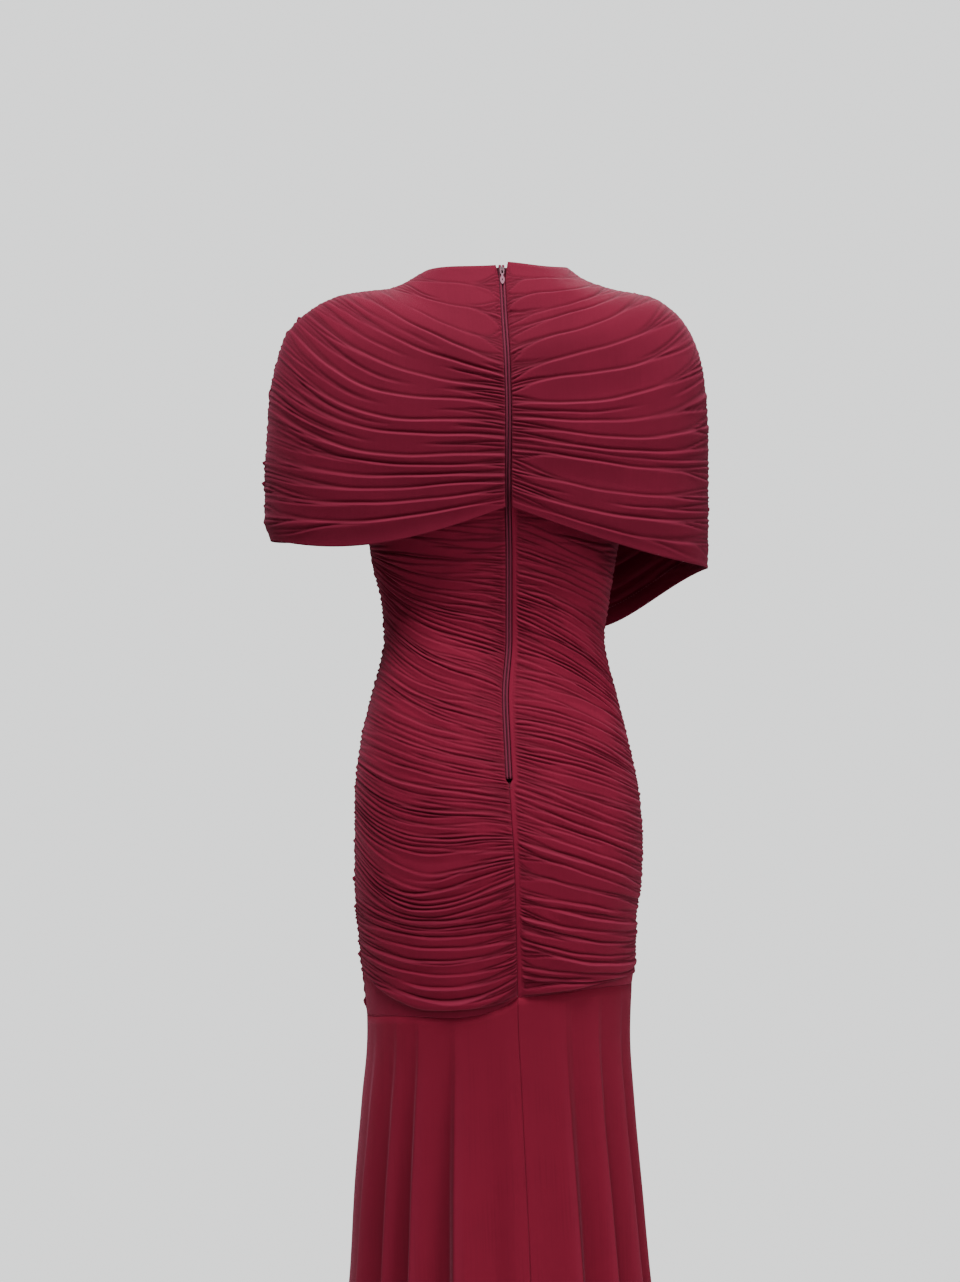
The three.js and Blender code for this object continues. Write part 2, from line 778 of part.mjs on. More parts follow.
const zipSteps = Math.round((ZIP_TOP_Z - ZIP_END_Z) / ZIP_STEP);
const zipLevels = evenSteps(ZIP_TOP_Z, ZIP_END_Z, zipSteps);
[
  ["zip_tape_left", 1],
  ["zip_tape_right", -1],
].forEach(([name, side]) => {
  const section = (z) => {
    const points = [
      [ROLL_INNER, -TAPE_BELOW - TAPE_THICK],
      [ROLL_INNER, rollHeight(z)],
      [ROLL_OUTER, rollHeight(z)],
      [ROLL_OUTER, -TAPE_BELOW],
      [TAPE_FLANGE, -TAPE_BELOW - TAPE_DROP],
      [TAPE_FLANGE, -TAPE_BELOW - TAPE_DROP - TAPE_THICK],
    ];
    return side > 0 ? points : points.map(([x, y]) => [-x, y]).reverse();
  };
  addPiece(name, strip(zipLevels, section), WINE_ZIP, 0.7);
});
const coilTop = -TAPE_BELOW - TAPE_THICK - SEAM_GAP;
addPiece(
  "zip_coil",
  strip(zipLevels, () => [
    [-COIL_HALF, coilTop - COIL_THICK],
    [-COIL_HALF, coilTop],
    [COIL_HALF, coilTop],
    [COIL_HALF, coilTop - COIL_THICK],
  ]),
  WINE_ZIP,
  0.5,
);

// Slider and pull tab, in a frame whose x is across, y is up along the zip and z is out of the cloth.
const SLIDER_Z = 5; // height of the pull tab's axis on the gown
const SLIDER_HALF_WIDTH = 2.6;
const SLIDER_HALF_LENGTH = 4.5;
const SLIDER_THICK = 1.4;
const BAIL_HALF_WIDTH = 0.6;
const BAIL_HALF_LENGTH = 3.2;
const BAIL_RISE = 3.5;
const BAIL_WALL = 1;
const AXIS_RISE = 1.3; // the pull tab's axis above the slider's body
const PULL_THICK = 0.8;
const PULL_LENGTH = 17;
const PULL_BAR = 0.45; // half of the bar that passes under the bail
const PULL_EYE_HALF = 1.05;
const PULL_EYE_REACH = 4.4;
const PULL_EYE_WALL = 0.9; // plate left beyond the eye before it narrows
const PULL_TOP_HALF = 1.9;
const PULL_END_RADIUS = 2.5;
const PULL_LEAN = (7 * Math.PI) / 180; // how far the pull tab leans in to the cloth at rest

function solidOf(geometry) {
  geometry.deleteAttribute("normal");
  geometry.deleteAttribute("uv");
  const merged = mergeVertices(geometry);
  return new wasm.Manifold(
    new wasm.Mesh({
      numProp: 3,
      vertProperties: merged.attributes.position.array,
      triVerts: new Uint32Array(merged.index.array),
    }),
  );
}

function geometryOf(solid) {
  const mesh = solid.getMesh();
  const geometry = new THREE.BufferGeometry();
  geometry.setAttribute("position", new THREE.Float32BufferAttribute(mesh.vertProperties, 3));
  geometry.setIndex(new THREE.BufferAttribute(mesh.triVerts, 1));
  return geometry;
}

// The body's top face lies at z 0 here; the bail is an arch over it that the pull tab hangs in.
function sliderGeometry() {
  const body = new THREE.Shape();
  body.moveTo(-SLIDER_HALF_WIDTH, SLIDER_HALF_LENGTH - 1);
  body.quadraticCurveTo(0, SLIDER_HALF_LENGTH + 1, SLIDER_HALF_WIDTH, SLIDER_HALF_LENGTH - 1);
  body.lineTo(SLIDER_HALF_WIDTH * 0.8, -SLIDER_HALF_LENGTH);
  body.lineTo(-SLIDER_HALF_WIDTH * 0.8, -SLIDER_HALF_LENGTH);
  const plate = new THREE.ExtrudeGeometry(body, {
    depth: SLIDER_THICK,
    bevelEnabled: false,
    curveSegments: 6,
  });
  plate.translate(0, 0, -SLIDER_THICK);
  const arch = new THREE.Shape();
  arch.moveTo(-BAIL_HALF_LENGTH, -SLIDER_THICK / 2);
  arch.lineTo(BAIL_HALF_LENGTH, -SLIDER_THICK / 2);
  arch.lineTo(BAIL_HALF_LENGTH, BAIL_RISE - BAIL_WALL);
  arch.lineTo(BAIL_HALF_LENGTH - BAIL_WALL, BAIL_RISE);
  arch.lineTo(-BAIL_HALF_LENGTH + BAIL_WALL, BAIL_RISE);
  arch.lineTo(-BAIL_HALF_LENGTH, BAIL_RISE - BAIL_WALL);
  const window = new THREE.Path();
  window.moveTo(-BAIL_HALF_LENGTH + BAIL_WALL, 0);
  window.lineTo(BAIL_HALF_LENGTH - BAIL_WALL, 0);
  window.lineTo(BAIL_HALF_LENGTH - BAIL_WALL, BAIL_RISE - BAIL_WALL);
  window.lineTo(-BAIL_HALF_LENGTH + BAIL_WALL, BAIL_RISE - BAIL_WALL);
  arch.holes.push(window);
  const bail = new THREE.ExtrudeGeometry(arch, {
    depth: 2 * BAIL_HALF_WIDTH,
    bevelEnabled: false,
  });
  bail.translate(0, 0, -BAIL_HALF_WIDTH);
  bail.rotateX(Math.PI / 2);
  bail.rotateZ(Math.PI / 2);
  return geometryOf(solidOf(plate).add(solidOf(bail)));
}

// A teardrop plate whose eye goes round the bail; its axis is the x axis here and it hangs along -y.
function pullGeometry() {
  const outline = new THREE.Shape();
  const endY = -PULL_LENGTH + PULL_END_RADIUS;
  const neckY = -PULL_EYE_REACH - PULL_EYE_WALL;
  const waistX = PULL_TOP_HALF * 0.7;
  outline.moveTo(-PULL_TOP_HALF, PULL_BAR);
  outline.lineTo(-PULL_TOP_HALF, neckY);
  outline.quadraticCurveTo(-waistX, neckY - 2, -PULL_END_RADIUS, endY);
  outline.quadraticCurveTo(-PULL_END_RADIUS, -PULL_LENGTH, 0, -PULL_LENGTH);
  outline.quadraticCurveTo(PULL_END_RADIUS, -PULL_LENGTH, PULL_END_RADIUS, endY);
  outline.quadraticCurveTo(waistX, neckY - 2, PULL_TOP_HALF, neckY);
  outline.lineTo(PULL_TOP_HALF, PULL_BAR);
  const eye = new THREE.Path();
  eye.moveTo(-PULL_EYE_HALF, -PULL_EYE_REACH);
  eye.lineTo(PULL_EYE_HALF, -PULL_EYE_REACH);
  eye.lineTo(PULL_EYE_HALF, -PULL_BAR);
  eye.lineTo(-PULL_EYE_HALF, -PULL_BAR);
  outline.holes.push(eye);
  const plate = new THREE.ExtrudeGeometry(outline, {
    depth: PULL_THICK,
    bevelEnabled: false,
    curveSegments: 8,
  });
  plate.translate(0, 0, -PULL_THICK / 2);
  return plate;
}

// The slider's frame follows the slope of the back at the neck.
const napeSlope = Math.atan((backDepth(SLIDER_Z - 6) - backDepth(SLIDER_Z + 6)) / 12);
const zipHardware = new THREE.Group();
zipHardware.position.set(centreLine(SLIDER_Z), backDepth(SLIDER_Z), SLIDER_Z);
zipHardware.rotation.set(Math.PI / 2 + napeSlope, Math.PI, 0);
const sliderLift = ROLL_UNDER_CAPE + SEAM_GAP + SLIDER_THICK;
const slider = addPiece("zip_slider", sliderGeometry(), DULL_METAL, 0.35, 0.9);
slider.position.set(0, 0, sliderLift);
const pull = addPiece("zip_pull", pullGeometry(), DULL_METAL, 0.35, 0.9);
pull.position.set(0, 0, sliderLift + AXIS_RISE);
pull.rotation.x = PULL_LEAN;
zipHardware.add(slider, pull);
gown.add(zipHardware);

export default gown;
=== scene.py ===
# %% [markdown]
# # A mermaid gown in gathered mesh jersey
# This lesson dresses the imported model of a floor-length gown: a gathered shoulder drape,
# a gathered bodice and hip, a plain fluted skirt and a concealed zip down the centre back.
# Each piece of cloth starts as a flat grid, as the real one starts as flat cloth, and is laid
# on the gown's form with its folds standing out of it.

# %% Load the frame
import math
import bmesh
import bpy
import numpy as np
from mathutils import Matrix, Vector


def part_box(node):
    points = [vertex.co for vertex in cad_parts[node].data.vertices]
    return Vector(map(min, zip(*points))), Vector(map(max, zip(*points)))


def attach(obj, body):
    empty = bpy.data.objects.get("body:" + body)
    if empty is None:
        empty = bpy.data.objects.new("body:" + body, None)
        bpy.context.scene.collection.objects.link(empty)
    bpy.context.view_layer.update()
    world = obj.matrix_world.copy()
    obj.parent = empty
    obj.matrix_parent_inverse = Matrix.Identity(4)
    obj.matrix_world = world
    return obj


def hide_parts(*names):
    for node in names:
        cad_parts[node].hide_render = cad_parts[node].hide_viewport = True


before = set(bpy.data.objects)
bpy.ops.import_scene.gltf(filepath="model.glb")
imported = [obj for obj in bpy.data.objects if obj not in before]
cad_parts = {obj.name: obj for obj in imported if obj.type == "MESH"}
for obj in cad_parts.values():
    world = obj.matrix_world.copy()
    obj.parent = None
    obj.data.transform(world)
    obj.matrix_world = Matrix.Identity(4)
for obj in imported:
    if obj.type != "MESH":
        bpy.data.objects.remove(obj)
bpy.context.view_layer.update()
MM = 0.001
HEM_Z = -1449.0
FLOOR_GAP = 1.0


# %% Small helpers
def mesh_of(bm, name):
    mesh = bpy.data.meshes.new(name)
    bm.to_mesh(mesh)
    bm.free()
    return mesh


def placed_object(name, data):
    thing = bpy.data.objects.new(name, data)
    bpy.context.collection.objects.link(thing)
    return thing


def new_material(name):
    """A material, its nodes and its shader."""
    material = bpy.data.materials.new(name)
    material.use_nodes = True
    tree = material.node_tree
    return material, tree, tree.nodes["Principled BSDF"]


def plug(tree, node, inputs):
    """Sets or links inputs of a node."""
    for socket, source in inputs.items():
        if hasattr(source, "links"):
            tree.links.new(source, node.inputs[socket])
        else:
            node.inputs[socket].default_value = source


def joined(tree, kind, inputs=(), **values):
    """Adds a node, sets its values and plugs its inputs."""
    node = tree.nodes.new(kind)
    for key, value in values.items():
        setattr(node, key, value)
    plug(tree, node, dict(inputs))
    return node


def maths(tree, operation, first, second):
    return joined(tree, "ShaderNodeMath", {0: first, 1: second}, operation=operation).outputs[0]


def noise(tree, where, scale, detail=2.0):
    inputs = {"Vector": where, "Scale": scale, "Detail": detail}
    return joined(tree, "ShaderNodeTexNoise", inputs).outputs["Fac"]


def ranged(tree, value, low, high, start=0.0, end=1.0):
    """Moves a value from between start and end to between low and high."""
    inputs = {"Value": value, "From Min": start, "From Max": end, "To Min": low, "To Max": high}
    return joined(tree, "ShaderNodeMapRange", inputs).outputs[0]


def mixed(tree, share, first, second):
    return joined(tree, "ShaderNodeMix", {0: share, 6: first, 7: second}, data_type="RGBA").outputs[2]


def belongs(piece, node=None, body="gown"):
    """Puts a piece under its body and hides the solid that it stands for."""
    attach(piece, body)
    if node:
        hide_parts(node)


def add_transformed(bm, mesh, matrix):
    """Adds a copy of a mesh, moved and turned."""
    start = len(bm.verts)
    bm.from_mesh(mesh)
    bm.verts.ensure_lookup_table()
    bmesh.ops.transform(bm, matrix=matrix, verts=bm.verts[start:])


# %% [markdown]
# ## Camera, floor and light
# The gown is seen from behind, level, from a little to the wearer's left. A long lens from
# 2.2 m keeps the hip and the shoulders in proportion. The picture is cut below the knees, so
# the lens is shifted a little instead of tilting the camera, which would make the sides lean.

# %% Camera
VIEW_TURN = math.radians(4)
VIEW_DISTANCE = 2.2
aim = Vector((0.0165, 0, -0.429))
camera_data = bpy.data.cameras.new("camera")
camera_data.sensor_width = 36
camera_data.lens = 56.2
camera_data.shift_y = 0.0304
camera = placed_object("camera", camera_data)
away = Vector((math.sin(VIEW_TURN), math.cos(VIEW_TURN), 0))
camera.location = aim + away * VIEW_DISTANCE
camera.rotation_euler = away.to_track_quat("Z", "Y").to_euler()
bpy.context.scene.camera = camera


# %% Floor and soft light
def plain_material(name, colour, roughness):
    material, tree, shader = new_material(name)
    plug(tree, shader, {"Base Color": (*colour, 1), "Roughness": roughness})
    return material


bm = bmesh.new()
bmesh.ops.create_circle(bm, cap_ends=True, radius=1.15, segments=96)
bmesh.ops.translate(bm, verts=bm.verts, vec=(0, 0, (HEM_Z - FLOOR_GAP) * MM))
floor = placed_object("floor", mesh_of(bm, "floor"))
floor.data.materials.append(plain_material("pale_floor", (0.82, 0.82, 0.8), 0.9))

world = bpy.data.worlds.new("studio")
world.use_nodes = True
sky = world.node_tree
room = sky.nodes["Background"]
backdrop = sky.nodes.new("ShaderNodeBackground")
for background, strength in ((room, 0.27), (backdrop, 1.7)):
    plug(sky, background, {"Color": (0.86, 0.87, 0.87, 1), "Strength": strength})
seen = sky.nodes.new("ShaderNodeLightPath")
either = joined(sky, "ShaderNodeMixShader",
                {0: seen.outputs["Is Camera Ray"], 1: room.outputs[0], 2: backdrop.outputs[0]})
sky.links.new(either.outputs[0], sky.nodes["World Output"].inputs["Surface"])
bpy.context.scene.world = world


LIT_POINT = Vector((0, 0, -0.6))


def soft_light(name, place, size, power):
    data = bpy.data.lights.new(name, "AREA")
    data.shape = "DISK"
    data.size = size
    data.energy = power
    lamp = placed_object(name, data)
    lamp.location = place
    lamp.rotation_euler = (Vector(place) - LIT_POINT).to_track_quat("Z", "Y").to_euler()


soft_light("ceiling_back", (0.35, 1.25, 2.3), 0.9, 96)
soft_light("ceiling_front", (-0.6, -2.0, 2.0), 1.6, 60)
soft_light("side_fill", (-2.2, 1.6, 0.5), 1.2, 26)

# %% [markdown]
# ## The form under the cloth
# The gown's form was measured as a few tables: how deep and how wide it is at each height, and
# how high each fold line lies across a panel. A mesh could be sculpted over it, or wrapped on
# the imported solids. Here the same tables are read again, because then every fold can be laid
# along the true flow of the cloth, and each piece stays on its solid.


# %% A smooth curve through measured points
def through(places, values):
    """A curve that passes through the points and never swings past them."""
    order = np.argsort(places)
    x = np.asarray(places, float)[order]
    y = np.asarray(values, float)[order]
    rise = np.diff(y) / np.diff(x)
    slope = np.zeros(len(x))
    slope[0] = rise[0]
    slope[-1] = rise[-1]
    same_way = rise[:-1] * rise[1:] > 0
    total = np.where(same_way, rise[:-1] + rise[1:], 1)
    slope[1:-1] = np.where(same_way, 2 * rise[:-1] * rise[1:] / total, 0)

    def curve(value):
        v = np.clip(value, x[0], x[-1])
        i = np.clip(np.searchsorted(x, v, side="right") - 1, 0, len(x) - 2)
        span = x[i + 1] - x[i]
        t = (v - x[i]) / span
        ends = y[i] * (1 + 2 * t) * (1 - t) ** 2 + y[i + 1] * t * t * (3 - 2 * t)
        return ends + span * t * (1 - t) * (slope[i] * (1 - t) - slope[i + 1] * t)

    return curve


# %% Depths and widths of the gown, in millimetres
# height, inside depth to the back and to the front, centre back line
DEPTHS = np.array([
    (19, 57, -58, -2), (-42, 84, -64, -3), (-100, 101, -98, -5), (-150, 103, -118, -6),
    (-210, 97, -129, -6), (-300, 76, -113, -9), (-385, 64, -95, -10), (-450, 78, -101, -5),
    (-500, 92, -105, -6), (-560, 107, -108, -8), (-610, 113, -108, -11), (-700, 108, -106, -14),
    (-785, 99, -102, -17), (-1090, 124, -119, -29), (-1449, 222, -192, -34),
])
# height, half width to the left and to the right, how far the armhole stands open
BODY_SIDE = np.array([
    (11, 78, 78, 0), (-8, 116, 116, 0), (-13, 148, 148, 0), (-19, 163, 163, 0),
    (-60, 150, 150, 22), (-105, 141, 141, 28), (-140, 142, 142, 18), (-158, 147, 147, 0),
    (-210, 145, 145, 0), (-297, 134, 131, 0), (-341, 123, 124, 0), (-385, 119.5, 118.5, 0),
    (-407, 123, 122, 0), (-451, 135, 134, 0), (-495, 145, 145, 0), (-561, 152, 158, 0),
    (-605, 152, 161, 0), (-649, 152, 159, 0), (-693, 149, 153, 0), (-737, 145, 152, 0),
    (-785, 140, 147, 0), (-803, 139, 147, 0), (-891, 146, 152, 0), (-979, 154, 159, 0),
    (-1090, 161, 168, 0), (-1240, 182, 190, 0), (-1449, 238, 246, 0),
])
CAPE_SIDE_LEFT = np.array([
    (15, 80), (-3, 116), (-7, 148), (-12, 173), (-36, 213), (-56, 229), (-78, 236),
    (-122, 245), (-165, 248), (-209, 250), (-253, 250), (-279, 244),
])
CAPE_SIDE_RIGHT = np.array([
    (22, 80), (11, 95), (6, 106), (-1, 130), (-7, 166), (-12, 180), (-35, 207), (-56, 219),
    (-78, 226), (-122, 232), (-165, 234), (-253, 234), (-308, 234),
])
CAPE_DEPTHS = np.array([
    (19, 60.2, -61.2), (-42, 87.4, -67.6), (-100, 105, -102), (-150, 108, -124),
    (-210, 104, -137), (-260, 97, -137), (-390, 80, -131),
])

# %% Fold lines of the back, as heights at the centre, one third, two thirds and the side
UNDER_DRAPE = [
    (-44, -39, -27, -6), (-96, -80, -56, -13), (-119, -103, -77, -19),
    (-142, -134, -114, -60), (-163, -161, -149, -110), (-187, -189, -183, -158),
]
BACK_LEFT_ROWS = np.array([
    (12, 12, 10, 11), *UNDER_DRAPE,
    (-305, -302, -297, -288), (-354, -345, -334, -300), (-387, -374, -358, -320),
    (-432, -416, -401, -361), (-492, -482, -467, -441), (-535, -526, -514, -494),
    (-585, -582, -579, -548), (-643, -664, -670, -634), (-676, -686, -687, -668),
    (-693, -704, -706, -693), (-748, -771, -770, -754), (-762, -783, -785, -794),
])
BACK_RIGHT_ROWS = np.array([
    (16, 15, 11, 11), *UNDER_DRAPE,
    (-284, -295, -306, -316), (-329, -338, -353, -376), (-360, -377, -400, -434),
    (-455, -463, -479, -507), (-481, -490, -508, -537), (-508, -521, -535, -556),
    (-548, -567, -587, -606),
    (-580, -597, -614, -636), (-610, -627, -644, -662), (-652, -662, -672, -684),
    (-681, -695, -706, -712), (-726, -735, -740, -743), (-762, -759, -756, -761),
])
CAPE_BACK_LEFT_ROWS = np.array([
    (14, 13, 14, 15), (-45, -36, -25, -1.5), (-96, -77, -50, -7.5), (-110, -92, -64, -15),
    (-124, -113, -89, -30), (-141, -134, -117, -46), (-160, -156, -143, -73),
    (-173, -171, -159, -100), (-191, -193, -183, -133), (-202, -203, -195, -160),
    (-211, -214, -211, -182), (-220, -225, -226, -202), (-227, -239, -242, -225),
    (-238, -254, -261, -248), (-247, -275, -288, -277),
])
CAPE_BACK_RIGHT_ROWS = np.array([
    (18, 16, 16, 22), (-30, -19, -12, 4), (-63, -48, -32, -3), (-84, -65, -46, -6.5),
    (-108, -87, -67, -24), (-123, -108, -92, -45), (-137, -136, -121, -82),
    (-153, -156, -149, -112), (-163, -170, -170, -148), (-173, -182, -186, -172),
    (-185, -196, -203, -194), (-207, -224, -232, -226), (-224, -247, -257, -250),
    (-238, -262, -277, -278), (-247, -273, -294, -306),
])

# %% Fold lines of the front, from the right side over the middle to the left side
FRONT_ROWS = np.array([
    (11, -27, -42, -27, 11), (-6, -47, -62, -47, -6), (-13, -68, -86, -68, -13),
    (-19, -84, -105, -84, -19), (-60, -108, -125, -108, -60), (-110, -138, -150, -138, -110),
    (-158, -176, -182, -176, -158), (-316, -308, -300, -294, -288),
    (-390, -386, -378, -370, -358), (-504, -500, -492, -480, -465),
    (-610, -612, -606, -598, -583), (-675, -690, -692, -686, -668),
    (-743, -766, -776, -774, -754), (-761, -786, -797, -800, -794),
])
CAPE_FRONT_ROWS = np.array([
    (22, -25, -40, -25, 15), (4, -46, -64, -45, -1.5), (-3, -68, -90, -65, -7.5),
    (-6.5, -90, -116, -84, -15), (-24, -114, -140, -104, -30), (-45, -138, -162, -122, -46),
    (-82, -164, -184, -140, -73), (-112, -190, -205, -156, -100),
    (-148, -216, -226, -172, -133), (-172, -240, -246, -188, -160),
    (-194, -264, -266, -204, -182), (-226, -290, -285, -219, -202),
    (-250, -316, -305, -234, -225), (-278, -344, -325, -250, -248),
    (-306, -370, -345, -267, -277),
])


# %% The form as curves
def curves(table):
    """A curve for each further column of a table, over its first column."""
    return [through(table[:, 0], column) for column in table.T[1:]]


back_depth, front_depth, centre_line = curves(DEPTHS)
body_left, body_right, armhole = curves(BODY_SIDE)
cape_left, = curves(CAPE_SIDE_LEFT)
cape_right, = curves(CAPE_SIDE_RIGHT)
cape_back, cape_front = curves(CAPE_DEPTHS)

SEAM_GAP = 0.3
CHANNEL_HALF = 3.6
SECTION_POWER = 2.2
BODY_FORM = (body_left, body_right, armhole, back_depth, front_depth)
CAPE_FORM = (cape_left, cape_right, lambda z: 0 * z, cape_back, cape_front)


def channel_half(z):
    """Half of the space between the two backs: the zip's channel, then a plain seam."""
    closed = np.clip((-534 - z) / 5, 0, 1)
    notch = 3.4 * np.maximum((z + 2) / 21, 0)
    return CHANNEL_HALF + (SEAM_GAP / 2 - CHANNEL_HALF) * closed + notch


def section_share(turn):
    """The share of the width and of the depth that a level cut has reached."""
    angle = np.abs(turn) * np.pi / 2
    power = 2 / SECTION_POWER
    return np.sin(angle) ** power, np.maximum(np.cos(angle), 0) ** power


# %% The two kinds of panel
def back_surface(rows, side, form):
    """Half a back, from the centre line (turn 0) to the side seam (turn 1)."""
    left, right, open_by, back, _ = form
    heights = [through(np.arange(len(rows)), rows[:, k]) for k in range(4)]

    def place(step, turn):
        centre, third, two_thirds, edge = (height(step) for height in heights)
        f, deep = section_share(turn)
        edge_y = SEAM_GAP / 2 + open_by(edge)
        start = centre_line(centre) + side * channel_half(centre)
        across = side * (left(edge) if side > 0 else right(edge))
        z = centre * ((1 - 3 * f) * (2 - 3 * f) * (1 - f)) / 2
        z = z + third * (9 * f * (2 - 3 * f) * (1 - f)) / 2
        z = z + two_thirds * (9 * f * (3 * f - 1) * (1 - f)) / 2
        z = z + edge * (f * (3 * f - 1) * (3 * f - 2)) / 2
        y = edge_y + (back(centre) - edge_y) * deep
        return np.stack([start + (across - start) * f, y, z], -1)

    return place


def front_surface(rows, form):
    """A whole front, from the right side (turn -1) to the left side (turn 1)."""
    left, right, open_by, _, front = form
    heights = [through(np.arange(len(rows)), rows[:, k]) for k in range(5)]
    places = np.array([-1, -0.5, 0, 0.5, 1])

    def place(step, turn):
        levels = np.stack([height(step) for height in heights], -1)
        share, deep = section_share(turn)
        edge = np.where(turn < 0, levels[..., 0], levels[..., 4])
        edge_y = -SEAM_GAP / 2 - open_by(edge)
        f = np.sign(turn) * share
        across = np.where(turn < 0, right(edge), left(edge))
        y = edge_y + (front(levels[..., 2]) - edge_y) * deep
        z = np.empty_like(y)
        for r in range(z.shape[0]):
            z[r] = through(places, levels[r, 0])(f[r])
        return np.stack([f * across, y, z], -1)

    return place


# %% [markdown]
# ## Folds
# A gather in soft mesh is a narrow dark valley, a quick step out to a rounded ridge just under
# it, and a long slope down to the next valley. Cloth simulation could find such folds by
# itself, but not these folds in these places. So each fold is laid one by one or by a seeded
# rule: where it starts and ends across the panel, how deep it is and how wide.


# %% Relief of one set of folds
def smooth_step(t):
    t = np.clip(t, 0, 1)
    return t * t * (3 - 2 * t)


def fold(place, start, end, tall, cut, rise, fall, merge=None, from_side=False):
    """One fold line: where it lies and runs, and in millimetres how tall, steep and wide it is; cut is how
    far its valley sinks and how dark its painted shade is.
    """
    return place, place if merge is None else merge, from_side, start, end, tall, cut, rise, fall


def fold_relief(down, steps, share, folds):
    """Height of the folds over a panel in millimetres, a mask of painted shade at its valleys and a mask of
    painted highlight on its crests.

    down is the length down the cloth at each point, share is 0 at the first edge and 1 at the last.
    A fold that merges drifts to its neighbour's line on its way in from the seam."""
    height = np.zeros_like(down)
    valley_and_shade = np.zeros_like(down)
    crest_highlight = np.zeros_like(down)
    width = share[0]
    for i, (place, merge, from_side, start, end, tall, cut, rise, fall) in enumerate(folds):
        gone = (1 - width) / max(1 - start, 0.02) if from_side else width / max(end, 0.02)
        at = place + (merge - place) * smooth_step(gone)
        line = np.array([np.interp(a, steps, down[:, c]) for c, a in enumerate(at)])
        line = line + 0.5 * np.sin(width * 9 + i * 2.4) + 0.25 * np.sin(width * 23 + i * 4.1)
        ease = max((end - start) * 0.3, 0.02)
        there = smooth_step((width - start) / ease + 0.5) * smooth_step((end - width) / ease + 0.5)
        there = there * (0.86 + 0.14 * np.sin(width * 6.5 + i * 1.7))
        x = down - line
        tail = np.clip(1 - (x - rise) / fall, 0, 1) ** 1.4
        shape = smooth_step(x / rise) * np.where(x > rise, tail, 1)
        height = np.maximum(height, tall * there * shape)
        # painted shade: a dark band in and just above each valley, where shade falls
        shade_width = np.where(x < 0, 0.55 * rise + 0.7, 0.2 * rise + 0.5)
        valley_and_shade = np.maximum(valley_and_shade, cut * there * np.exp(-((x / shade_width) ** 2)))
        # painted highlight: a thin light line along each crest, where the ridge turns to the light
        edge = np.exp(-(((x - 0.95 * rise) / (0.22 * rise + 0.45)) ** 2))
        crest_highlight = np.maximum(crest_highlight, min(tall / 3.5, 1) * there * edge)
    return height, valley_and_shade, crest_highlight


# %% A flat grid set on points
def set_grid(name, points, lengths, marks, outward, wall):
    """A grid of faces moved onto points, with a map of the flat cloth, its marks of painted shade and
    painted highlight, and a thickness.
    """
    rows, columns = points.shape[:2]
    bm = bmesh.new()
    bmesh.ops.create_grid(bm, x_segments=columns - 1, y_segments=rows - 1, size=0.5)
    mesh = mesh_of(bm, name)
    flat = np.empty(len(mesh.vertices) * 3)
    mesh.vertices.foreach_get("co", flat)
    column = np.rint((flat[0::3] + 0.5) * (columns - 1)).astype(int)
    row = np.rint((flat[1::3] + 0.5) * (rows - 1)).astype(int)
    mesh.vertices.foreach_set("co", (points[row, column] * MM).ravel())
    loops = np.empty(len(mesh.loops), dtype=int)
    mesh.loops.foreach_get("vertex_index", loops)
    cloth_map = mesh.uv_layers.new(name="cloth")
    cloth_map.data.foreach_set("uv", (lengths[row, column] * MM)[loops].ravel())
    for attribute, values in marks.items():
        mark = mesh.attributes.new(attribute, "FLOAT", "POINT")
        mark.data.foreach_set("value", values[row, column])
    mesh.update()
    middle = mesh.polygons[len(mesh.polygons) // 2]
    first = middle.vertices[0]
    if Vector(outward[row[first], column[first]]).dot(middle.normal) < 0:
        mesh.flip_normals()
    mesh.shade_smooth()
    piece = placed_object(name, mesh)
    shell = piece.modifiers.new("wall", "SOLIDIFY")
    shell.thickness = wall * MM
    shell.offset = -1
    return piece


# %% Cloth laid on the form
LIFT = 0.9
CLOTH_WALL = 0.8
# how strongly the painted shade of the creases and the painted highlight of the crests show in the colour
CREASE_SHADE_SHARE = 0.72
CREST_HIGHLIGHT_SHARE = 0.6
laid = {}


def lengths_along(points, axis):
    """Length of cloth from the first edge to each point."""
    first = points[:1] if axis == 0 else points[:, :1]
    return np.cumsum(np.linalg.norm(np.diff(points, axis=axis, prepend=first), axis=2), axis=axis)


def lay_cloth(name, place, steps, turns, facing, flat_at, relief):
    """A grid of faces laid on the form, with its folds and a thickness."""
    step, turn = np.meshgrid(steps, turns, indexing="ij")
    base = place(step, turn)
    along = np.gradient(base, axis=1)
    below = np.gradient(base, axis=0)
    out = facing * np.cross(along, below)
    edges = {"first": np.s_[:, 0], "last": np.s_[:, -1], "top": np.s_[0], "bottom": np.s_[-1]}
    for edge, axis in flat_at.items():
        out[edges[edge]][:, axis] = 0
    out /= np.linalg.norm(out, axis=2, keepdims=True)
    down = lengths_along(base, 0)
    across = lengths_along(base, 1)
    height, valley_and_shade, crest_highlight, sink = relief(step, turn, base, down, across)
    below /= np.linalg.norm(below, axis=2, keepdims=True)
    points = base + out * (LIFT + height)[..., None] + below * sink[..., None]
    # the masks go to the shader as painted shade in the creases and painted highlight on the crests
    marks = {"crease_shade": CREASE_SHADE_SHARE * valley_and_shade, "crest_highlight": CREST_HIGHLIGHT_SHARE * crest_highlight}
    piece = set_grid(name, points, np.stack([across, -down], -1), marks, out, CLOTH_WALL)
    laid[name] = points, out
    area = sum(face.area for face in piece.data.polygons)
    print(name, "faces", len(piece.data.polygons), "relief to", round(float(height.max()), 1),
          "mm, area", round(area, 3), "m2")
    return piece


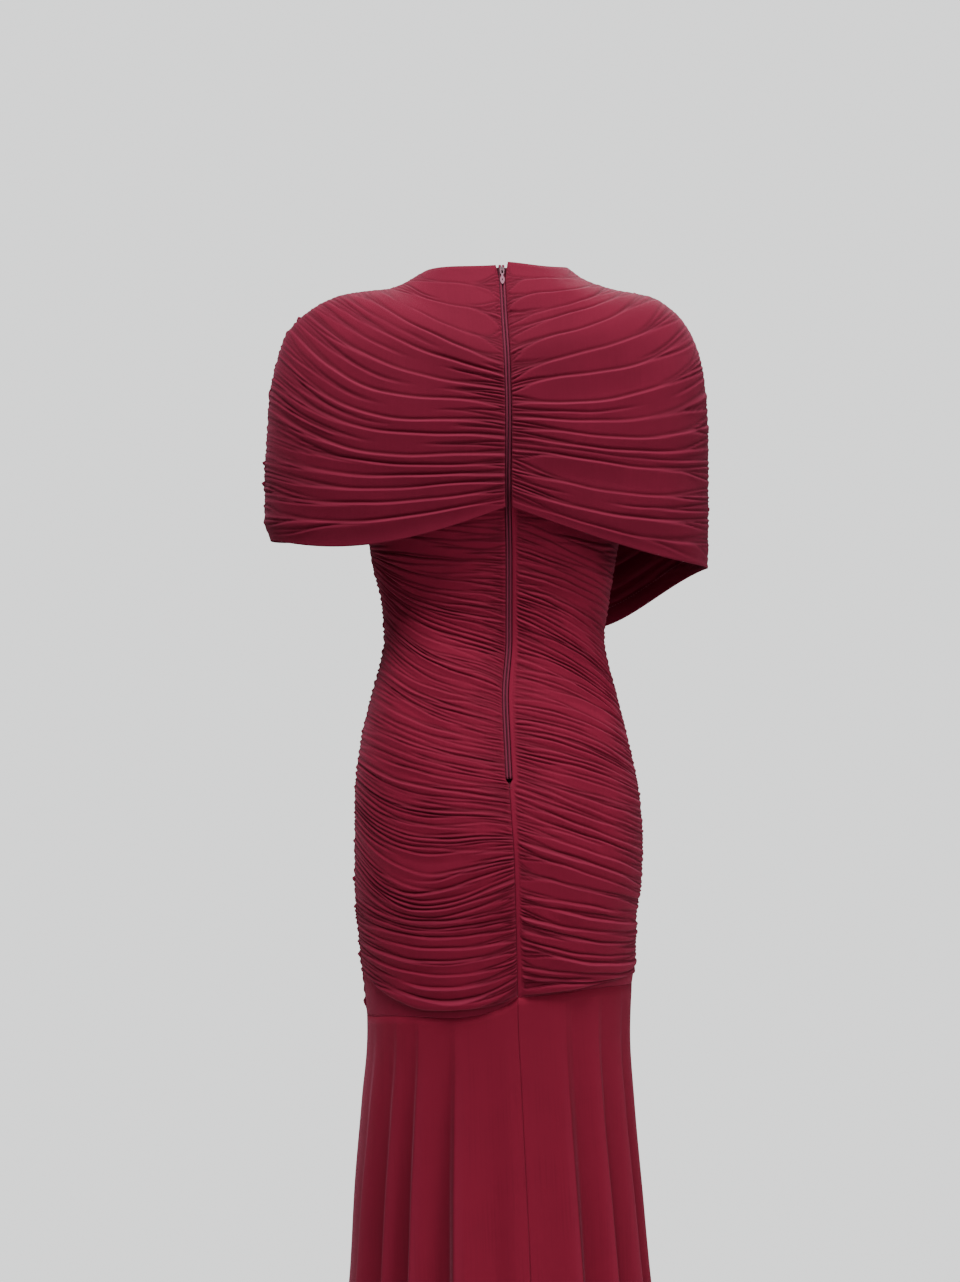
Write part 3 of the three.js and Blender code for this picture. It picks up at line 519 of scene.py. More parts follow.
# %% [markdown]
# ## Cloth and its colour
# The gown is a wine-red stretch mesh jersey over a lining of the same colour: matt, with a
# soft sheen where a ridge turns to the light, from the shader's sheen and a painted highlight on
# each crest, and almost black-red in the creases, where shade is painted. The knit is a bump in
# the shader, because its stitches are far under a millimetre, while each fold that can be seen is
# geometry. One node group makes the knit and paints the crest highlight and crease shade for all
# three cloths.


# %% Knit group, with the painted crest highlight and crease shade
def new_group(name, inputs, outputs):
    group = bpy.data.node_groups.new(name, "ShaderNodeTree")
    for socket, kind, value in inputs:
        made = group.interface.new_socket(socket, in_out="INPUT", socket_type=kind)
        made.default_value = value
    for socket, kind in outputs:
        group.interface.new_socket(socket, in_out="OUTPUT", socket_type=kind)
    return group, group.nodes.new("NodeGroupInput"), group.nodes.new("NodeGroupOutput")


knit, given, result = new_group(
    "knit",
    [("Stitch size", "NodeSocketFloat", 0.0011), ("Streaks", "NodeSocketFloat", 0.5),
     ("Cloth", "NodeSocketColor", (0.1, 0.01, 0.02, 1)), ("Crease shade", "NodeSocketColor", (0.02, 0, 0, 1)),
     ("Crest highlight", "NodeSocketColor", (0.3, 0.03, 0.06, 1))],
    [("Colour", "NodeSocketColor"), ("Height", "NodeSocketFloat"), ("Roughness", "NodeSocketFloat")],
)
cloth_map = joined(knit, "ShaderNodeUVMap", uv_map="cloth")
per_metre = maths(knit, "DIVIDE", 1.0, given.outputs["Stitch size"])
stitches = joined(knit, "ShaderNodeVectorMath", {0: cloth_map.outputs[0], "Scale": per_metre},
                  operation="SCALE")
wales, courses = (
    joined(knit, "ShaderNodeTexWave",
           {"Vector": stitches.outputs[0], "Scale": scale, "Distortion": distortion},
           wave_type="BANDS", bands_direction=direction).outputs["Fac"]
    for direction, scale, distortion in (("X", 1.0, 0.6), ("Y", 1.3, 0.8))
)
mesh_height = maths(knit, "MULTIPLY", wales, courses)
stretched = joined(knit, "ShaderNodeVectorMath", {0: cloth_map.outputs[0], 1: (520.0, 9.0, 1.0)},
                   operation="MULTIPLY")
streak = maths(knit, "MULTIPLY", noise(knit, stretched.outputs[0], 1.0, 3.0), given.outputs["Streaks"])
clouds = noise(knit, cloth_map.outputs[0], 14.0, 4.0)
tone = ranged(knit, maths(knit, "ADD", streak, clouds), 0.86, 1.14, 0.3, 1.1)
toned = joined(knit, "ShaderNodeVectorMath", {0: given.outputs["Cloth"], "Scale": tone}, operation="SCALE")
colour = toned.outputs[0]
# painted highlight on the crests and painted shade in the creases, mixed into the cloth's own colour
for name, socket in (("crest_highlight", "Crest highlight"), ("crease_shade", "Crease shade")):
    mark = joined(knit, "ShaderNodeAttribute", attribute_name=name)
    colour = mixed(knit, mark.outputs["Fac"], colour, given.outputs[socket])
rough = ranged(knit, mesh_height, 0.82, 0.7)
plug(knit, result, {"Colour": colour, "Height": mesh_height, "Roughness": rough})


# %% Cloth materials
def cloth_material(name, colour, crest_highlight_colour, crease_shade_colour, stitch, streaks):
    material, tree, shader = new_material(name)
    pattern = joined(
        tree, "ShaderNodeGroup",
        {"Stitch size": stitch, "Streaks": streaks, "Cloth": (*colour, 1),
         "Crest highlight": (*crest_highlight_colour, 1), "Crease shade": (*crease_shade_colour, 1)},
        node_tree=knit,
    )
    bump = joined(tree, "ShaderNodeBump",
                  {"Height": pattern.outputs["Height"], "Strength": 0.35, "Distance": 0.0002})
    plug(tree, shader, {
        "Base Color": pattern.outputs["Colour"], "Roughness": pattern.outputs["Roughness"],
        "Normal": bump.outputs["Normal"], "Specular IOR Level": 0.12, "Sheen Weight": 0.22,
        "Sheen Roughness": 0.45, "Sheen Tint": (0.9, 0.3, 0.45, 1),
    })
    return material


# colour of the painted highlight on the crests, and of the painted shade in the creases
CREST_HIGHLIGHT = (0.34, 0.032, 0.078)
CREASE_SHADE = (0.045, 0.0015, 0.006)
drape_cloth = cloth_material("wine_drape_mesh", (0.2, 0.0098, 0.033), CREST_HIGHLIGHT, CREASE_SHADE, 0.0011, 0.35)
bodice_cloth = cloth_material("wine_bodice_mesh", (0.262, 0.0125, 0.041), CREST_HIGHLIGHT, CREASE_SHADE, 0.001, 0.35)
skirt_cloth = cloth_material("wine_skirt_jersey", (0.216, 0.0094, 0.03), CREST_HIGHLIGHT, CREASE_SHADE, 0.0009, 1.2)


def dress(piece, material, node):
    """Gives a piece its cloth and its place in the model, and hides the solid that it stands for."""
    piece.data.materials.append(material)
    belongs(piece, node)


# %% [markdown]
# ## Gathered back of the bodice and hip
# Each half is a long piece of mesh gathered to about two thirds of its length on the centre
# back and side seams, so it folds all the way from seam to seam. The real folds run down from
# the wearer's left to the right over the small of the back, lie level at the hip, and fan
# into small pleats at the zip. Some run the whole way, and most fade out part way.


# %% Folds of a gathered panel
def spaced(random, first, last, pitch):
    """Places from first to last at an uneven spacing that may change on the way."""
    places = []
    at = first
    while at < last:
        places.append(at)
        at += pitch(at) * random.uniform(0.55, 1.45)
    return places


def seam_pleats(random, steps, line, first, pitch, tall, places, reach, from_side):
    """Short pleats at a seam. Each drifts to the nearest of the long folds' places and ends there."""
    pleats = []
    for at in spaced(random, first, line[-1] - 3, lambda at: pitch):
        place = np.interp(at, line, steps)
        near = min(places, key=lambda other: abs(other - place))
        merge = place + 0.75 * (near - place)
        length = random.uniform(*reach)
        start, end = (1 - length, 1.3) if from_side else (-0.3, length)
        own = random.uniform(0.5, 1)
        cut, rise, fall = 0.45 + 0.5 * own, 0.36 * pitch, 1.3 * pitch
        pleats.append(fold(place, start, end, tall * own, cut, rise, fall, merge, from_side))
    return pleats


def long_folds(random, steps, down, z_middle, pitch, from_step):
    """Folds that cross most of the panel, some from seam to seam."""
    middle = down[:, down.shape[1] // 2]
    begin = np.interp(from_step, steps, middle)
    folds = []

    def own_pitch(at):
        return pitch(np.interp(at, middle, z_middle))

    for at in spaced(random, begin, middle[-1] - 4, own_pitch):
        own = own_pitch(at)
        start = random.choice([-0.4, -0.2, random.uniform(0.05, 0.45)])
        end = random.choice([1.4, 1.2, random.uniform(0.5, 0.95)])
        place = np.interp(at, middle, steps)
        drift = random.choice([0, 0, 0.12, -0.12])
        tall = random.uniform(0.14, 0.34) * own
        rise = min(max(0.2 * own, 1.2), 1.8)
        cut = random.uniform(0.4, 1)
        folds.append(fold(place, start, end, tall, cut, rise, own * 1.2, place + drift))
    return folds


# %% Back panels
left_pitch = through([-1000, -720, -640, -560, 100], [12, 11, 8.5, 6.2, 5.6])
right_pitch = through([-1000, -700, -620, -560, -450, 100], [18, 16, 12, 7.5, 6, 5.8])
# columns are closer together by the zip
by_the_zip = [0, 0.0031, 0.0067, 0.0105, 0.0144, 0.0195, 0.0262, 0.034]
half_turns = np.concatenate([by_the_zip, np.linspace(0.046, 1, 54)])


def body_steps(rows, column, shown_from, fine, coarse):
    """Steps down a panel, close together where it shows."""
    marks = through(rows[:, column], np.arange(len(rows)))
    top, foot = rows[0, column], rows[-1, column]
    hidden = np.arange(top, shown_from, -coarse)
    shown = np.linspace(shown_from, foot, int((shown_from - foot) / fine) + 1)
    return marks(np.concatenate([hidden, shown]))


# under the drape the panels stay plain: rows of the tables and heights where the folds start
BACK_SHOWN_ROW = 5.6
BACK_SHOWN_Z = -215
FADE_IN = 60


def drawn_in(across, reach):
    """How far the cloth may stand out near the two seams that hold it."""
    seam = np.minimum(across, across[:, -1:] - across)
    return 0.4 + 0.6 * smooth_step(seam / reach)


def gentle_waves(down, across, share):
    return np.sin(down / 37 + 5 * share) * np.sin(across / 31 + down / 90)


def main_fold(line, tall, start=-0.2, end=1.2):
    return fold(line, start, end, 0.85 * tall, 1, 1.6, 12)


def back_relief(seed, main, pitch, margin, side_calm, swag):
    """Relief of half a back. margin is the flat strip that is turned back beside the zip, and swag
    how far above the hip seam the lowest fold ends, from the centre back to the side."""
    random = np.random.default_rng(seed)
    swag_foot = through(np.linspace(0, 1, len(swag)), swag)

    def relief(step, turn, base, down, across):
        steps = step[:, 0]
        share = section_share(turn)[0]
        middle = base[:, base.shape[1] // 2, 2]
        folds = long_folds(random, steps, down, middle, pitch, BACK_SHOWN_ROW)
        folds += [main_fold(*one) for one in main]
        places = [one[0] for one in folds]
        first, last = down[:, 0], down[:, -1]
        begin = np.interp(BACK_SHOWN_ROW, steps, first)
        folds += seam_pleats(random, steps, first, begin, 3.4, 1.5, places, (0.06, 0.34), False)
        begin = np.interp(BACK_SHOWN_ROW, steps, last)
        folds += seam_pleats(random, steps, last, begin, 5.6, 2, places, (0.06, 0.26), True)
        height, valley_and_shade, crest_highlight = fold_relief(down, steps, share, folds)

        on_margin = smooth_step((across - margin) / 2.5) if margin else 1
        height, valley_and_shade, crest_highlight = height * on_margin, valley_and_shade * on_margin, crest_highlight * on_margin
        drawn = drawn_in(across, 4) * (1 - side_calm * smooth_step((share - 0.86) / 0.14))
        shown = smooth_step((BACK_SHOWN_Z - base[..., 2]) / FADE_IN)
        full = (1.2 + height + 0.35 * gentle_waves(down, across, share)) * (1 - 0.8 * valley_and_shade) * drawn
        # stitch dimples beside the zip, sunk into the cloth and painted with shade
        if margin:
            dimples = 0.65 + 0.35 * np.sin(down * 2 * np.pi / 4)
            stitch = np.exp(-(((across - margin) / 0.8) ** 2)) * dimples
            full = full - 0.45 * stitch
            valley_and_shade = np.maximum(valley_and_shade, 0.4 * stitch)
        full = 0.5 + (full - 0.5) * shown
        above = down[-1:] - down - swag_foot(share)
        across_swag = smooth_step(share / 0.1) * smooth_step((1 - share) / 0.25)
        full = full + 1.8 * across_swag * np.exp(-(((above - 6) / 5) ** 2))
        on_swag = smooth_step(above / 2.6)
        full = 0.3 + (full - 0.3) * on_swag
        # painted shadow along the underside of the lowest swag
        shadow_under_swag = np.exp(-(((above - 0.2) / 1.5) ** 2)) + 0.5 * np.exp(-(((above + 3) / 4) ** 2))
        valley_and_shade = np.maximum(valley_and_shade * on_swag, 0.75 * across_swag * shadow_under_swag)
        sink = 0.25 * full * shown * on_swag
        return np.maximum(full, 0), valley_and_shade * shown, crest_highlight * shown * on_swag, sink

    return relief


# line and height, then start and end for a fold that doesn't run from seam to seam
LEFT_MAIN = [
    (7, 2), (8.4, 2.6), (9.3, 2.4), (10, 2.8), (10.65, 2.4), (11.1, 2.2, 0.3, 1.2),
    (11.6, 2.6, -0.2, 0.9), (12.4, 3.4), (12.75, 3), (13.15, 3), (13.5, 3.6, -0.2, 0.55), (13.86, 3.6),
    (14.5, 2.8, 0.2, 1.2), (15, 3.4), (15.6, 2.6, 0.1, 1.2), (16.3, 3.6), (16.8, 3.4),
    (17.45, 3, -0.2, 0.8),
]
RIGHT_MAIN = [
    (8, 2.2, 0.05, 1.2), (9, 3), (9.35, 2.4, -0.2, 0.8), (10, 3), (10.5, 2.4), (11, 2.8),
    (11.5, 2.8, -0.2, 0.8), (11.85, 3), (12.5, 2.6, 0.1, 1.2), (13.5, 3), (14.45, 3.2), (15.4, 2.8),
    (16.2, 1.8, -0.2, 0.9), (17, 3.4), (17.4, 2.8), (18, 2.6), (18.4, 2, 0.2, 1.2),
]
BACK_FLAT = {"first": 0, "last": 1, "bottom": 2}
LEFT_SWAG = (1.5, 6, 8, 7, 18, 46)
RIGHT_SWAG = (1.5, 1.5, 2, 4, 7, 11)
for name, node, rows, side, relief in (
    ("bodice_back_left", "back_left_panel", BACK_LEFT_ROWS, 1,
     back_relief(11, LEFT_MAIN, left_pitch, 0, 0.5, LEFT_SWAG)),
    ("bodice_back_right", "back_right_panel", BACK_RIGHT_ROWS, -1,
     back_relief(23, RIGHT_MAIN, right_pitch, 4.6, 0.3, RIGHT_SWAG)),
):
    piece = lay_cloth(name, back_surface(rows, side, BODY_FORM), body_steps(rows, 1, -225, 0.95, 4),
                      half_turns, side, BACK_FLAT, relief)
    dress(piece, bodice_cloth, node)

# %% [markdown]
# ## Front of the bodice
# The front is one piece, gathered on both side seams. It isn't seen from behind except at the
# sides, where its gathers meet those of the back, so it gets the same kind of fold.


# %% Front panel
body_pitch = through([-1000, -720, -640, -560, 100], [17, 16, 12, 9, 9])


def front_relief(seed, shown_step, pitch, shown_z, sag):
    random = np.random.default_rng(seed)

    def relief(step, turn, base, down, across):
        steps = step[:, 0]
        share = (np.sign(turn) * section_share(turn)[0] + 1) / 2
        middle = base[:, base.shape[1] // 2, 2]
        folds = long_folds(random, steps, down, middle, pitch, shown_step)
        places = [one[0] for one in folds]
        for line, from_side in ((down[:, 0], False), (down[:, -1], True)):
            begin = np.interp(shown_step, steps, line)
            folds += seam_pleats(random, steps, line, begin, 6.2, 1.8, places, (0.04, 0.14),
                                 from_side)
        height, valley_and_shade, crest_highlight = fold_relief(down, steps, share, folds)
        drawn = drawn_in(across, 6)
        shown = smooth_step((shown_z - base[..., 2]) / FADE_IN)
        full = (1.2 + height + 0.35 * gentle_waves(down, across, share)) * (1 - 0.8 * valley_and_shade) * drawn
        full = 0.5 + (full - 0.5) * shown
        to_seam = smooth_step((down[-1:] - down) / 18)
        full = 0.4 + (full - 0.4) * to_seam
        return np.maximum(full, 0), valley_and_shade * shown, crest_highlight * shown * to_seam, sag * full * shown

    return relief


front_turns = np.linspace(-1, 1, 101)
FRONT_FLAT = {"first": 1, "last": 1, "bottom": 2}
front_body = lay_cloth(
    "bodice_front", front_surface(FRONT_ROWS, BODY_FORM), body_steps(FRONT_ROWS, 2, -290, 1.8, 6),
    front_turns, -1, FRONT_FLAT, front_relief(37, 6.6, body_pitch, -260, 0.25),
)
dress(front_body, bodice_cloth, "front_panel")

# %% [markdown]
# ## Shoulder drape
# The drape is a wide scarf of mesh gathered into the zip seam and into a seam that runs over
# each shoulder and down the arm. Its folds fan out from the centre back, climb to the
# shoulders, and hang in shallow swags over the arms. These are the folds that make the gown,
# so each is given on its own line.

# %% Folds of the drape, listed one by one
# line, height, step up, slope down, then start and end where it doesn't run from seam to seam
CAPE_LEFT_MAIN = [
    (0.45, 1.8, 3.5, 30, 0.3, 1.2), (1, 3, 3.5, 34, -0.2, 0.85), (1.55, 2.2, 3, 26, -0.2, 0.7),
    (2, 5.2, 3.5, 30), (3, 5, 3.2, 26), (4, 5.2, 3.2, 30), (5, 4.8, 3.2, 30), (6, 4.4, 3, 24),
    (7, 4.4, 3, 26), (8, 4.6, 3.2, 24), (9, 3.8, 3, 20), (10, 4.2, 3, 20), (11, 3.8, 3, 20),
    (12, 4, 3, 22), (13, 4.2, 3, 26), (2.5, 2.6, 3, 18, 0.45, 1.2), (3.5, 2.8, 3, 18, 0.55, 1.2),
    (4.5, 2.6, 3, 16, 0.5, 1.2), (5.5, 2.4, 3, 16, 0.6, 1.2), (6.5, 2.4, 2.6, 14, 0.55, 1.2),
    (7.5, 2.4, 2.6, 14, 0.6, 1.2),
]
CAPE_RIGHT_MAIN = [
    (0.5, 2.2, 3.2, 26, -0.2, 0.7), (1, 4.6, 3.4, 30), (1.6, 2.6, 3, 24, -0.2, 0.8), (2, 4, 3.2, 26),
    (3, 5, 3.4, 30), (4, 4.8, 3.4, 30), (5, 4.2, 3.2, 26), (6, 4.4, 3.2, 26), (7, 3.6, 3, 24),
    (8, 4.2, 3, 24), (9, 3.8, 3, 22), (10, 4, 3, 24), (11, 3.6, 3, 26), (12, 4.4, 3.2, 28),
    (13, 4, 3, 24), (6.5, 2.4, 2.6, 14, -0.2, 0.6), (9.5, 2.2, 2.6, 14, 0.2, 1.2),
    (11.5, 2.2, 2.6, 16, 0.5, 1.2),
]


def drape_fold(line, tall, up, long, start=-0.2, end=1.2):
    return fold(line, start, end, 0.8 * tall, 0.3 + 0.13 * tall, 0.62 * up, 0.85 * long)


def cape_relief(seed, main, pleats_at_side):
    random = np.random.default_rng(seed)

    def relief(step, turn, base, down, across):
        steps = step[:, 0]
        share = section_share(turn)[0]
        folds = [drape_fold(*one) for one in main]
        places = [one[0] for one in folds]
        folds += seam_pleats(random, steps, down[:, 0], 8, 3.8, 1.7, places, (0.06, 0.3), False)
        folds += seam_pleats(random, steps, down[:, -1], 4, pleats_at_side, 2.8, places,
                             (0.08, 0.36), True)
        height, valley_and_shade, crest_highlight = fold_relief(down, steps, share, folds)
        on_shoulder = smooth_step((share - 0.55) / 0.35) * smooth_step((base[..., 2] + 110) / 60)
        calm = (1 - 0.72 * on_shoulder) * (1 - 0.35 * smooth_step((share - 0.85) / 0.15))
        drawn = drawn_in(across, 4) * calm
        soft = np.sin(down / 26 + 4 * share) * np.sin(across / 41 + down / 60)
        full = (0.9 + 0.86 * height + 0.35 * soft) * (1 - 0.85 * valley_and_shade) * drawn
        hem = smooth_step((down[-1:] - down - 2) / 20)
        top = smooth_step(down / 5)
        full = full * (0.35 + 0.65 * hem) * (0.3 + 0.7 * top)
        return np.maximum(full, 0), valley_and_shade * hem, crest_highlight * hem, 0.12 * full * hem

    return relief


# %% Drape, back
def cape_steps(rows, column, fine):
    marks = through(rows[:, column], np.arange(len(rows)))
    top, foot = rows[0, column], rows[-1, column]
    return marks(np.linspace(top, foot, int((top - foot) / fine)))


cape_turns = np.concatenate([[0, 0.0031, 0.0067, 0.0105, 0.0155, 0.0225], np.linspace(0.034, 1, 84)])
CAPE_FLAT = {"first": 0, "last": 1}
for name, node, rows, side, relief in (
    ("drape_back_left", "cape_back_left", CAPE_BACK_LEFT_ROWS, 1, cape_relief(5, CAPE_LEFT_MAIN, 4.8)),
    ("drape_back_right", "cape_back_right", CAPE_BACK_RIGHT_ROWS, -1, cape_relief(8, CAPE_RIGHT_MAIN, 6.6)),
):
    piece = lay_cloth(name, back_surface(rows, side, CAPE_FORM), cape_steps(rows, 1, 1.0),
                      cape_turns, side, CAPE_FLAT, relief)
    dress(piece, drape_cloth, node)

# %% Drape, front
DRAPE_FRONT_PITCH = 15.0
drape_front = lay_cloth(
    "drape_front", front_surface(CAPE_FRONT_ROWS, CAPE_FORM), cape_steps(CAPE_FRONT_ROWS, 2, 2.0),
    front_turns, -1, {"first": 1, "last": 1},
    front_relief(41, 0.15, lambda z: DRAPE_FRONT_PITCH, 100, 0.12),
)
dress(drape_front, drape_cloth, "cape_front")

# %% [markdown]
# ## Skirt
# Below the hip seam the skirt is cut plain and flares from the knee, so it hangs in long
# flutes that start from nothing at the seam and deepen to the hem. Each flute is steep on its
# outer side and soft towards the middle, because the cloth hangs back from the hip.

# %% Flutes: place from the centre to the side, and how far out
FLUTES_BACK_LEFT = np.array([
    (0, 0), (0.07, 0.3), (0.2, -0.5), (0.42, 0.8), (0.462, -0.8), (0.66, 0.8), (0.688, -0.8),
    (0.803, 0.75), (0.831, -0.75), (0.935, 0.6), (0.963, -0.5), (1, -0.2),
])
FLUTES_BACK_RIGHT = np.array([
    (0, 0), (0.1, -0.2), (0.38, 0.8), (0.45, -0.75), (0.655, 0.8), (0.7, -0.8), (0.856, 0.7),
    (0.886, -0.7), (0.95, 0.5), (1, -0.2),
])
FLUTES_FRONT = np.array([
    (-1, -0.2), (-0.94, 0.6), (-0.9, -0.6), (-0.79, 0.75), (-0.75, -0.75), (-0.6, 0.7), (-0.55, -0.8),
    (-0.36, 0.8), (-0.3, -0.7), (-0.1, 0.6), (-0.02, -0.5), (0.14, 0.6), (0.3, -0.7), (0.36, 0.8),
    (0.54, -0.8), (0.59, 0.75), (0.74, -0.75), (0.78, 0.75), (0.89, -0.7), (0.93, 0.6), (1, -0.2),
])
FLUTE_DEPTH = 21
HEM_DEPTH = 22


def skirt_surface(seam_place, last_step, side):
    """From the hip seam (level 0) to the hem (level 1)."""

    def place(level, turn):
        top = seam_place(np.full_like(turn, last_step), turn)
        z = top[..., 2] - SEAM_GAP
        z = z + (HEM_Z - z) * level
        own = np.where(turn < 0, -1, 1) if side == 0 else side
        across = own * np.where(own > 0, body_left(z), body_right(z))
        start = 0 if side == 0 else centre_line(z) + side * SEAM_GAP / 2
        facing = -1 if side == 0 else 1
        edge_y = facing * SEAM_GAP / 2
        depth = front_depth(z) if side == 0 else back_depth(z)
        share, deep = section_share(turn)
        free = np.stack([start + (across - start) * share, edge_y + (depth - edge_y) * deep, z], -1)
        sewn = np.maximum(0, 1 - level / 0.14)[..., None] ** 2
        near = np.stack([top[..., 0], top[..., 1], z], -1)
        return free + (near - free) * sewn

    return place


def skirt_relief(flutes):
    """Flutes that grow downward. Beyond each ridge's outer edge, where the cloth turns away, painted shade
    fades outward, and a faint painted highlight lies just inside the edge.
    """
    height_at = through(flutes[:, 0], flutes[:, 1])
    edges = [(place, height) for place, height in flutes if height > 0.5]

    def relief(level, turn, base, down, across):
        share = np.sign(turn) * section_share(turn)[0]
        grown = smooth_step(level / 0.4 + 0.12)
        painted_shade = np.zeros_like(share)
        painted_lit = np.zeros_like(share)
        for place, height in edges:
            beyond = np.where(share * place >= 0, np.abs(share) - abs(place), -1)
            fade = np.exp(-np.maximum(beyond, 0) / 0.075)
            painted_shade = np.maximum(painted_shade, height * fade * smooth_step((beyond + 0.002) / 0.01))
            painted_lit = np.maximum(painted_lit, height * np.exp(-(((beyond + 0.016) / 0.03) ** 2)))
        hem_stitch = np.exp(-(((down[-1:] - down - HEM_DEPTH) / 1.4) ** 2))
        height = 0.3 + FLUTE_DEPTH * level * height_at(share) - 0.3 * hem_stitch
        # painted shade beyond each ridge, and the sunk stitch line of the hem drawn darker
        crease_shade = np.maximum(1.2 * grown * painted_shade, 0.5 * hem_stitch)
        return height, crease_shade, 0.3 * grown * painted_lit * (1 - painted_shade), np.zeros_like(down)

    return relief


def flute_turns(flutes, count):
    """Turns of the columns, with extra ones at each ridge and valley."""
    places = np.unique(np.concatenate([flutes[:, 0], flutes[:, 0] + 0.008, flutes[:, 0] - 0.008]))
    places = places[(places >= flutes[0, 0]) & (places <= 1)]
    exact = np.sign(places) * np.arcsin(np.abs(places) ** (SECTION_POWER / 2)) * 2 / np.pi
    even = np.linspace(exact[0], 1, count)
    even = even[np.min(np.abs(even[:, None] - exact), axis=1) > 0.004]
    return np.sort(np.concatenate([exact, even]))


SKIRT_LENGTH = 664
hem_levels = 1 - np.array([26, 24, 23, 22, 21, 20, 18, 12, 6]) / SKIRT_LENGTH
skirt_levels = np.sort(np.concatenate([np.linspace(0, 0.96, 72), hem_levels, [1]]))
SKIRT_FLAT = {"first": 0, "last": 1, "top": 2, "bottom": 2}
for name, node, rows, side, flutes in (
    ("skirt_back_left_cloth", "skirt_back_left", BACK_LEFT_ROWS, 1, FLUTES_BACK_LEFT),
    ("skirt_back_right_cloth", "skirt_back_right", BACK_RIGHT_ROWS, -1, FLUTES_BACK_RIGHT),
):
    piece = lay_cloth(name, skirt_surface(back_surface(rows, side, BODY_FORM), len(rows) - 1, side),
                      skirt_levels, flute_turns(flutes, 90), side, SKIRT_FLAT, skirt_relief(flutes))
    dress(piece, skirt_cloth, node)
skirt_front = lay_cloth(
    "skirt_front_cloth", skirt_surface(front_surface(FRONT_ROWS, BODY_FORM), len(FRONT_ROWS) - 1, 0),
    skirt_levels, flute_turns(FLUTES_FRONT, 120), -1, {"first": 1, "last": 1, "top": 2, "bottom": 2},
    skirt_relief(FLUTES_FRONT),
)
dress(skirt_front, skirt_cloth, "skirt_front")

# %% [markdown]
# ## Hem stitches of the drape
# The drape's front hangs lower than its back, so its inside shows under the right arm, with the
# paler bobbin thread of its hem. A stitch could be painted on, but it catches the light as a small
# raised dash. So one dash is shaped from a sphere and copied along the hem, with few faces each.


# %% Rows of stitches
def row_of_stitches(name, points, out, pitch, size):
    """Small dashes along a line of points in millimetres, lying on the side that out points to."""
    steps = np.linalg.norm(np.diff(points, axis=0, prepend=points[:1]), axis=1).cumsum()

    def along_row(values, at):
        return np.array([np.interp(at, steps, values[:, k]) for k in range(3)])

    bm = bmesh.new()
    for at in np.arange(pitch, steps[-1], pitch):
        before, here, after = (along_row(points, a) for a in (at - 0.6, at, at + 0.6))
        up = Vector(along_row(out, at)).normalized()
        along = Vector(after - before).normalized()
        turned = Matrix((along, along.cross(up), up)).transposed().to_4x4()
        sized = Matrix.Diagonal((*(v * MM for v in size), 1))
        placed = Matrix.Translation(Vector(here) * MM) @ turned @ sized
        bmesh.ops.create_uvsphere(bm, u_segments=6, v_segments=4, radius=1, matrix=placed)
    mesh = mesh_of(bm, name)
    mesh.shade_smooth()
    piece = placed_object(name, mesh)
    print(name, "stitches over", round(float(steps[-1])), "mm")
    return piece


# %% Thread material
def thread_material(name, colour):
    """Matt thread with a fine twist."""
    material, tree, shader = new_material(name)
    where = joined(tree, "ShaderNodeTexCoord")
    shaded = (*[0.7 * c for c in colour], 1)
    tint = mixed(tree, noise(tree, where.outputs["Object"], 2500.0), shaded, (*colour, 1))
    plug(tree, shader, {"Base Color": tint, "Roughness": 0.75})
    return material


pale_thread = thread_material("pale_thread", (0.5, 0.2, 0.26))
wine_thread = thread_material("wine_thread", (0.2, 0.03, 0.055))
HEM_ROW = -9
INSIDE = 1.0
hem_points, hem_out = (part[HEM_ROW] for part in laid["drape_front"])
hem_stitches = row_of_stitches("drape_front_hem_stitches", hem_points - INSIDE * hem_out, -hem_out,
                               3.6, (0.95, 0.28, 0.22))
hem_stitches.data.materials.append(pale_thread)
belongs(hem_stitches)

# %% [markdown]
# ## Zip
# The zip is a concealed one: two woven tapes whose edges are rolled back over a nylon coil, so
# that only the two rolls and the dark slit between them show. A tape is a flat strip, so it is
# a grid laid along the centre back like the cloth, with its roll as an arc. The coil is one
# small loop, spun from a circle and set along the tapes, with few faces because it repeats.

# %% Lines along the zip
ZIP_TOP_Z = 13.0
ZIP_END_Z = -533.0


def along_zip(z):
    """Points on the centre back at each height, and the way out of the cloth there."""
    slope = (back_depth(z + 1) - back_depth(z - 1)) / 2
    out = np.stack([0 * z, 1 + 0 * z, -slope], -1)
    out /= np.linalg.norm(out, axis=-1, keepdims=True)
    return np.stack([centre_line(z), back_depth(z), z], -1), out


# %% Rolled tapes
def tape_profile(z):
    """Across and out of the tape from the slit over the roll to the sewn edge, with a painted highlight on
    the roll's top and painted shade in the slit, on the roll's sides and at its foot, fading over the sewn
    flange.
    """
    top = 0.9 + 3.1 * np.clip((z + 250) / 20, 0, 1)
    turn = np.linspace(np.pi, 0, 11)
    across = np.concatenate([[0.0], 1.74 + 1.44 * np.cos(turn), [3.3, 6.5, 9.8]])
    out = np.concatenate([[-1.9], top - 1.35 + 1.35 * np.sin(turn), [-1.15, -1.55, -2.05]])
    # painted highlight on the top of the roll; painted shade in the slit, on the roll's sides and at its
    # foot
    painted_lit = np.concatenate([[0], 0.55 * np.sin(turn) ** 3, [0, 0, 0]])
    dark = np.concatenate([[1], 0.9 * np.abs(np.cos(turn)) ** 3, [1, 0.6, 0.4]])
    return across, out, painted_lit, dark


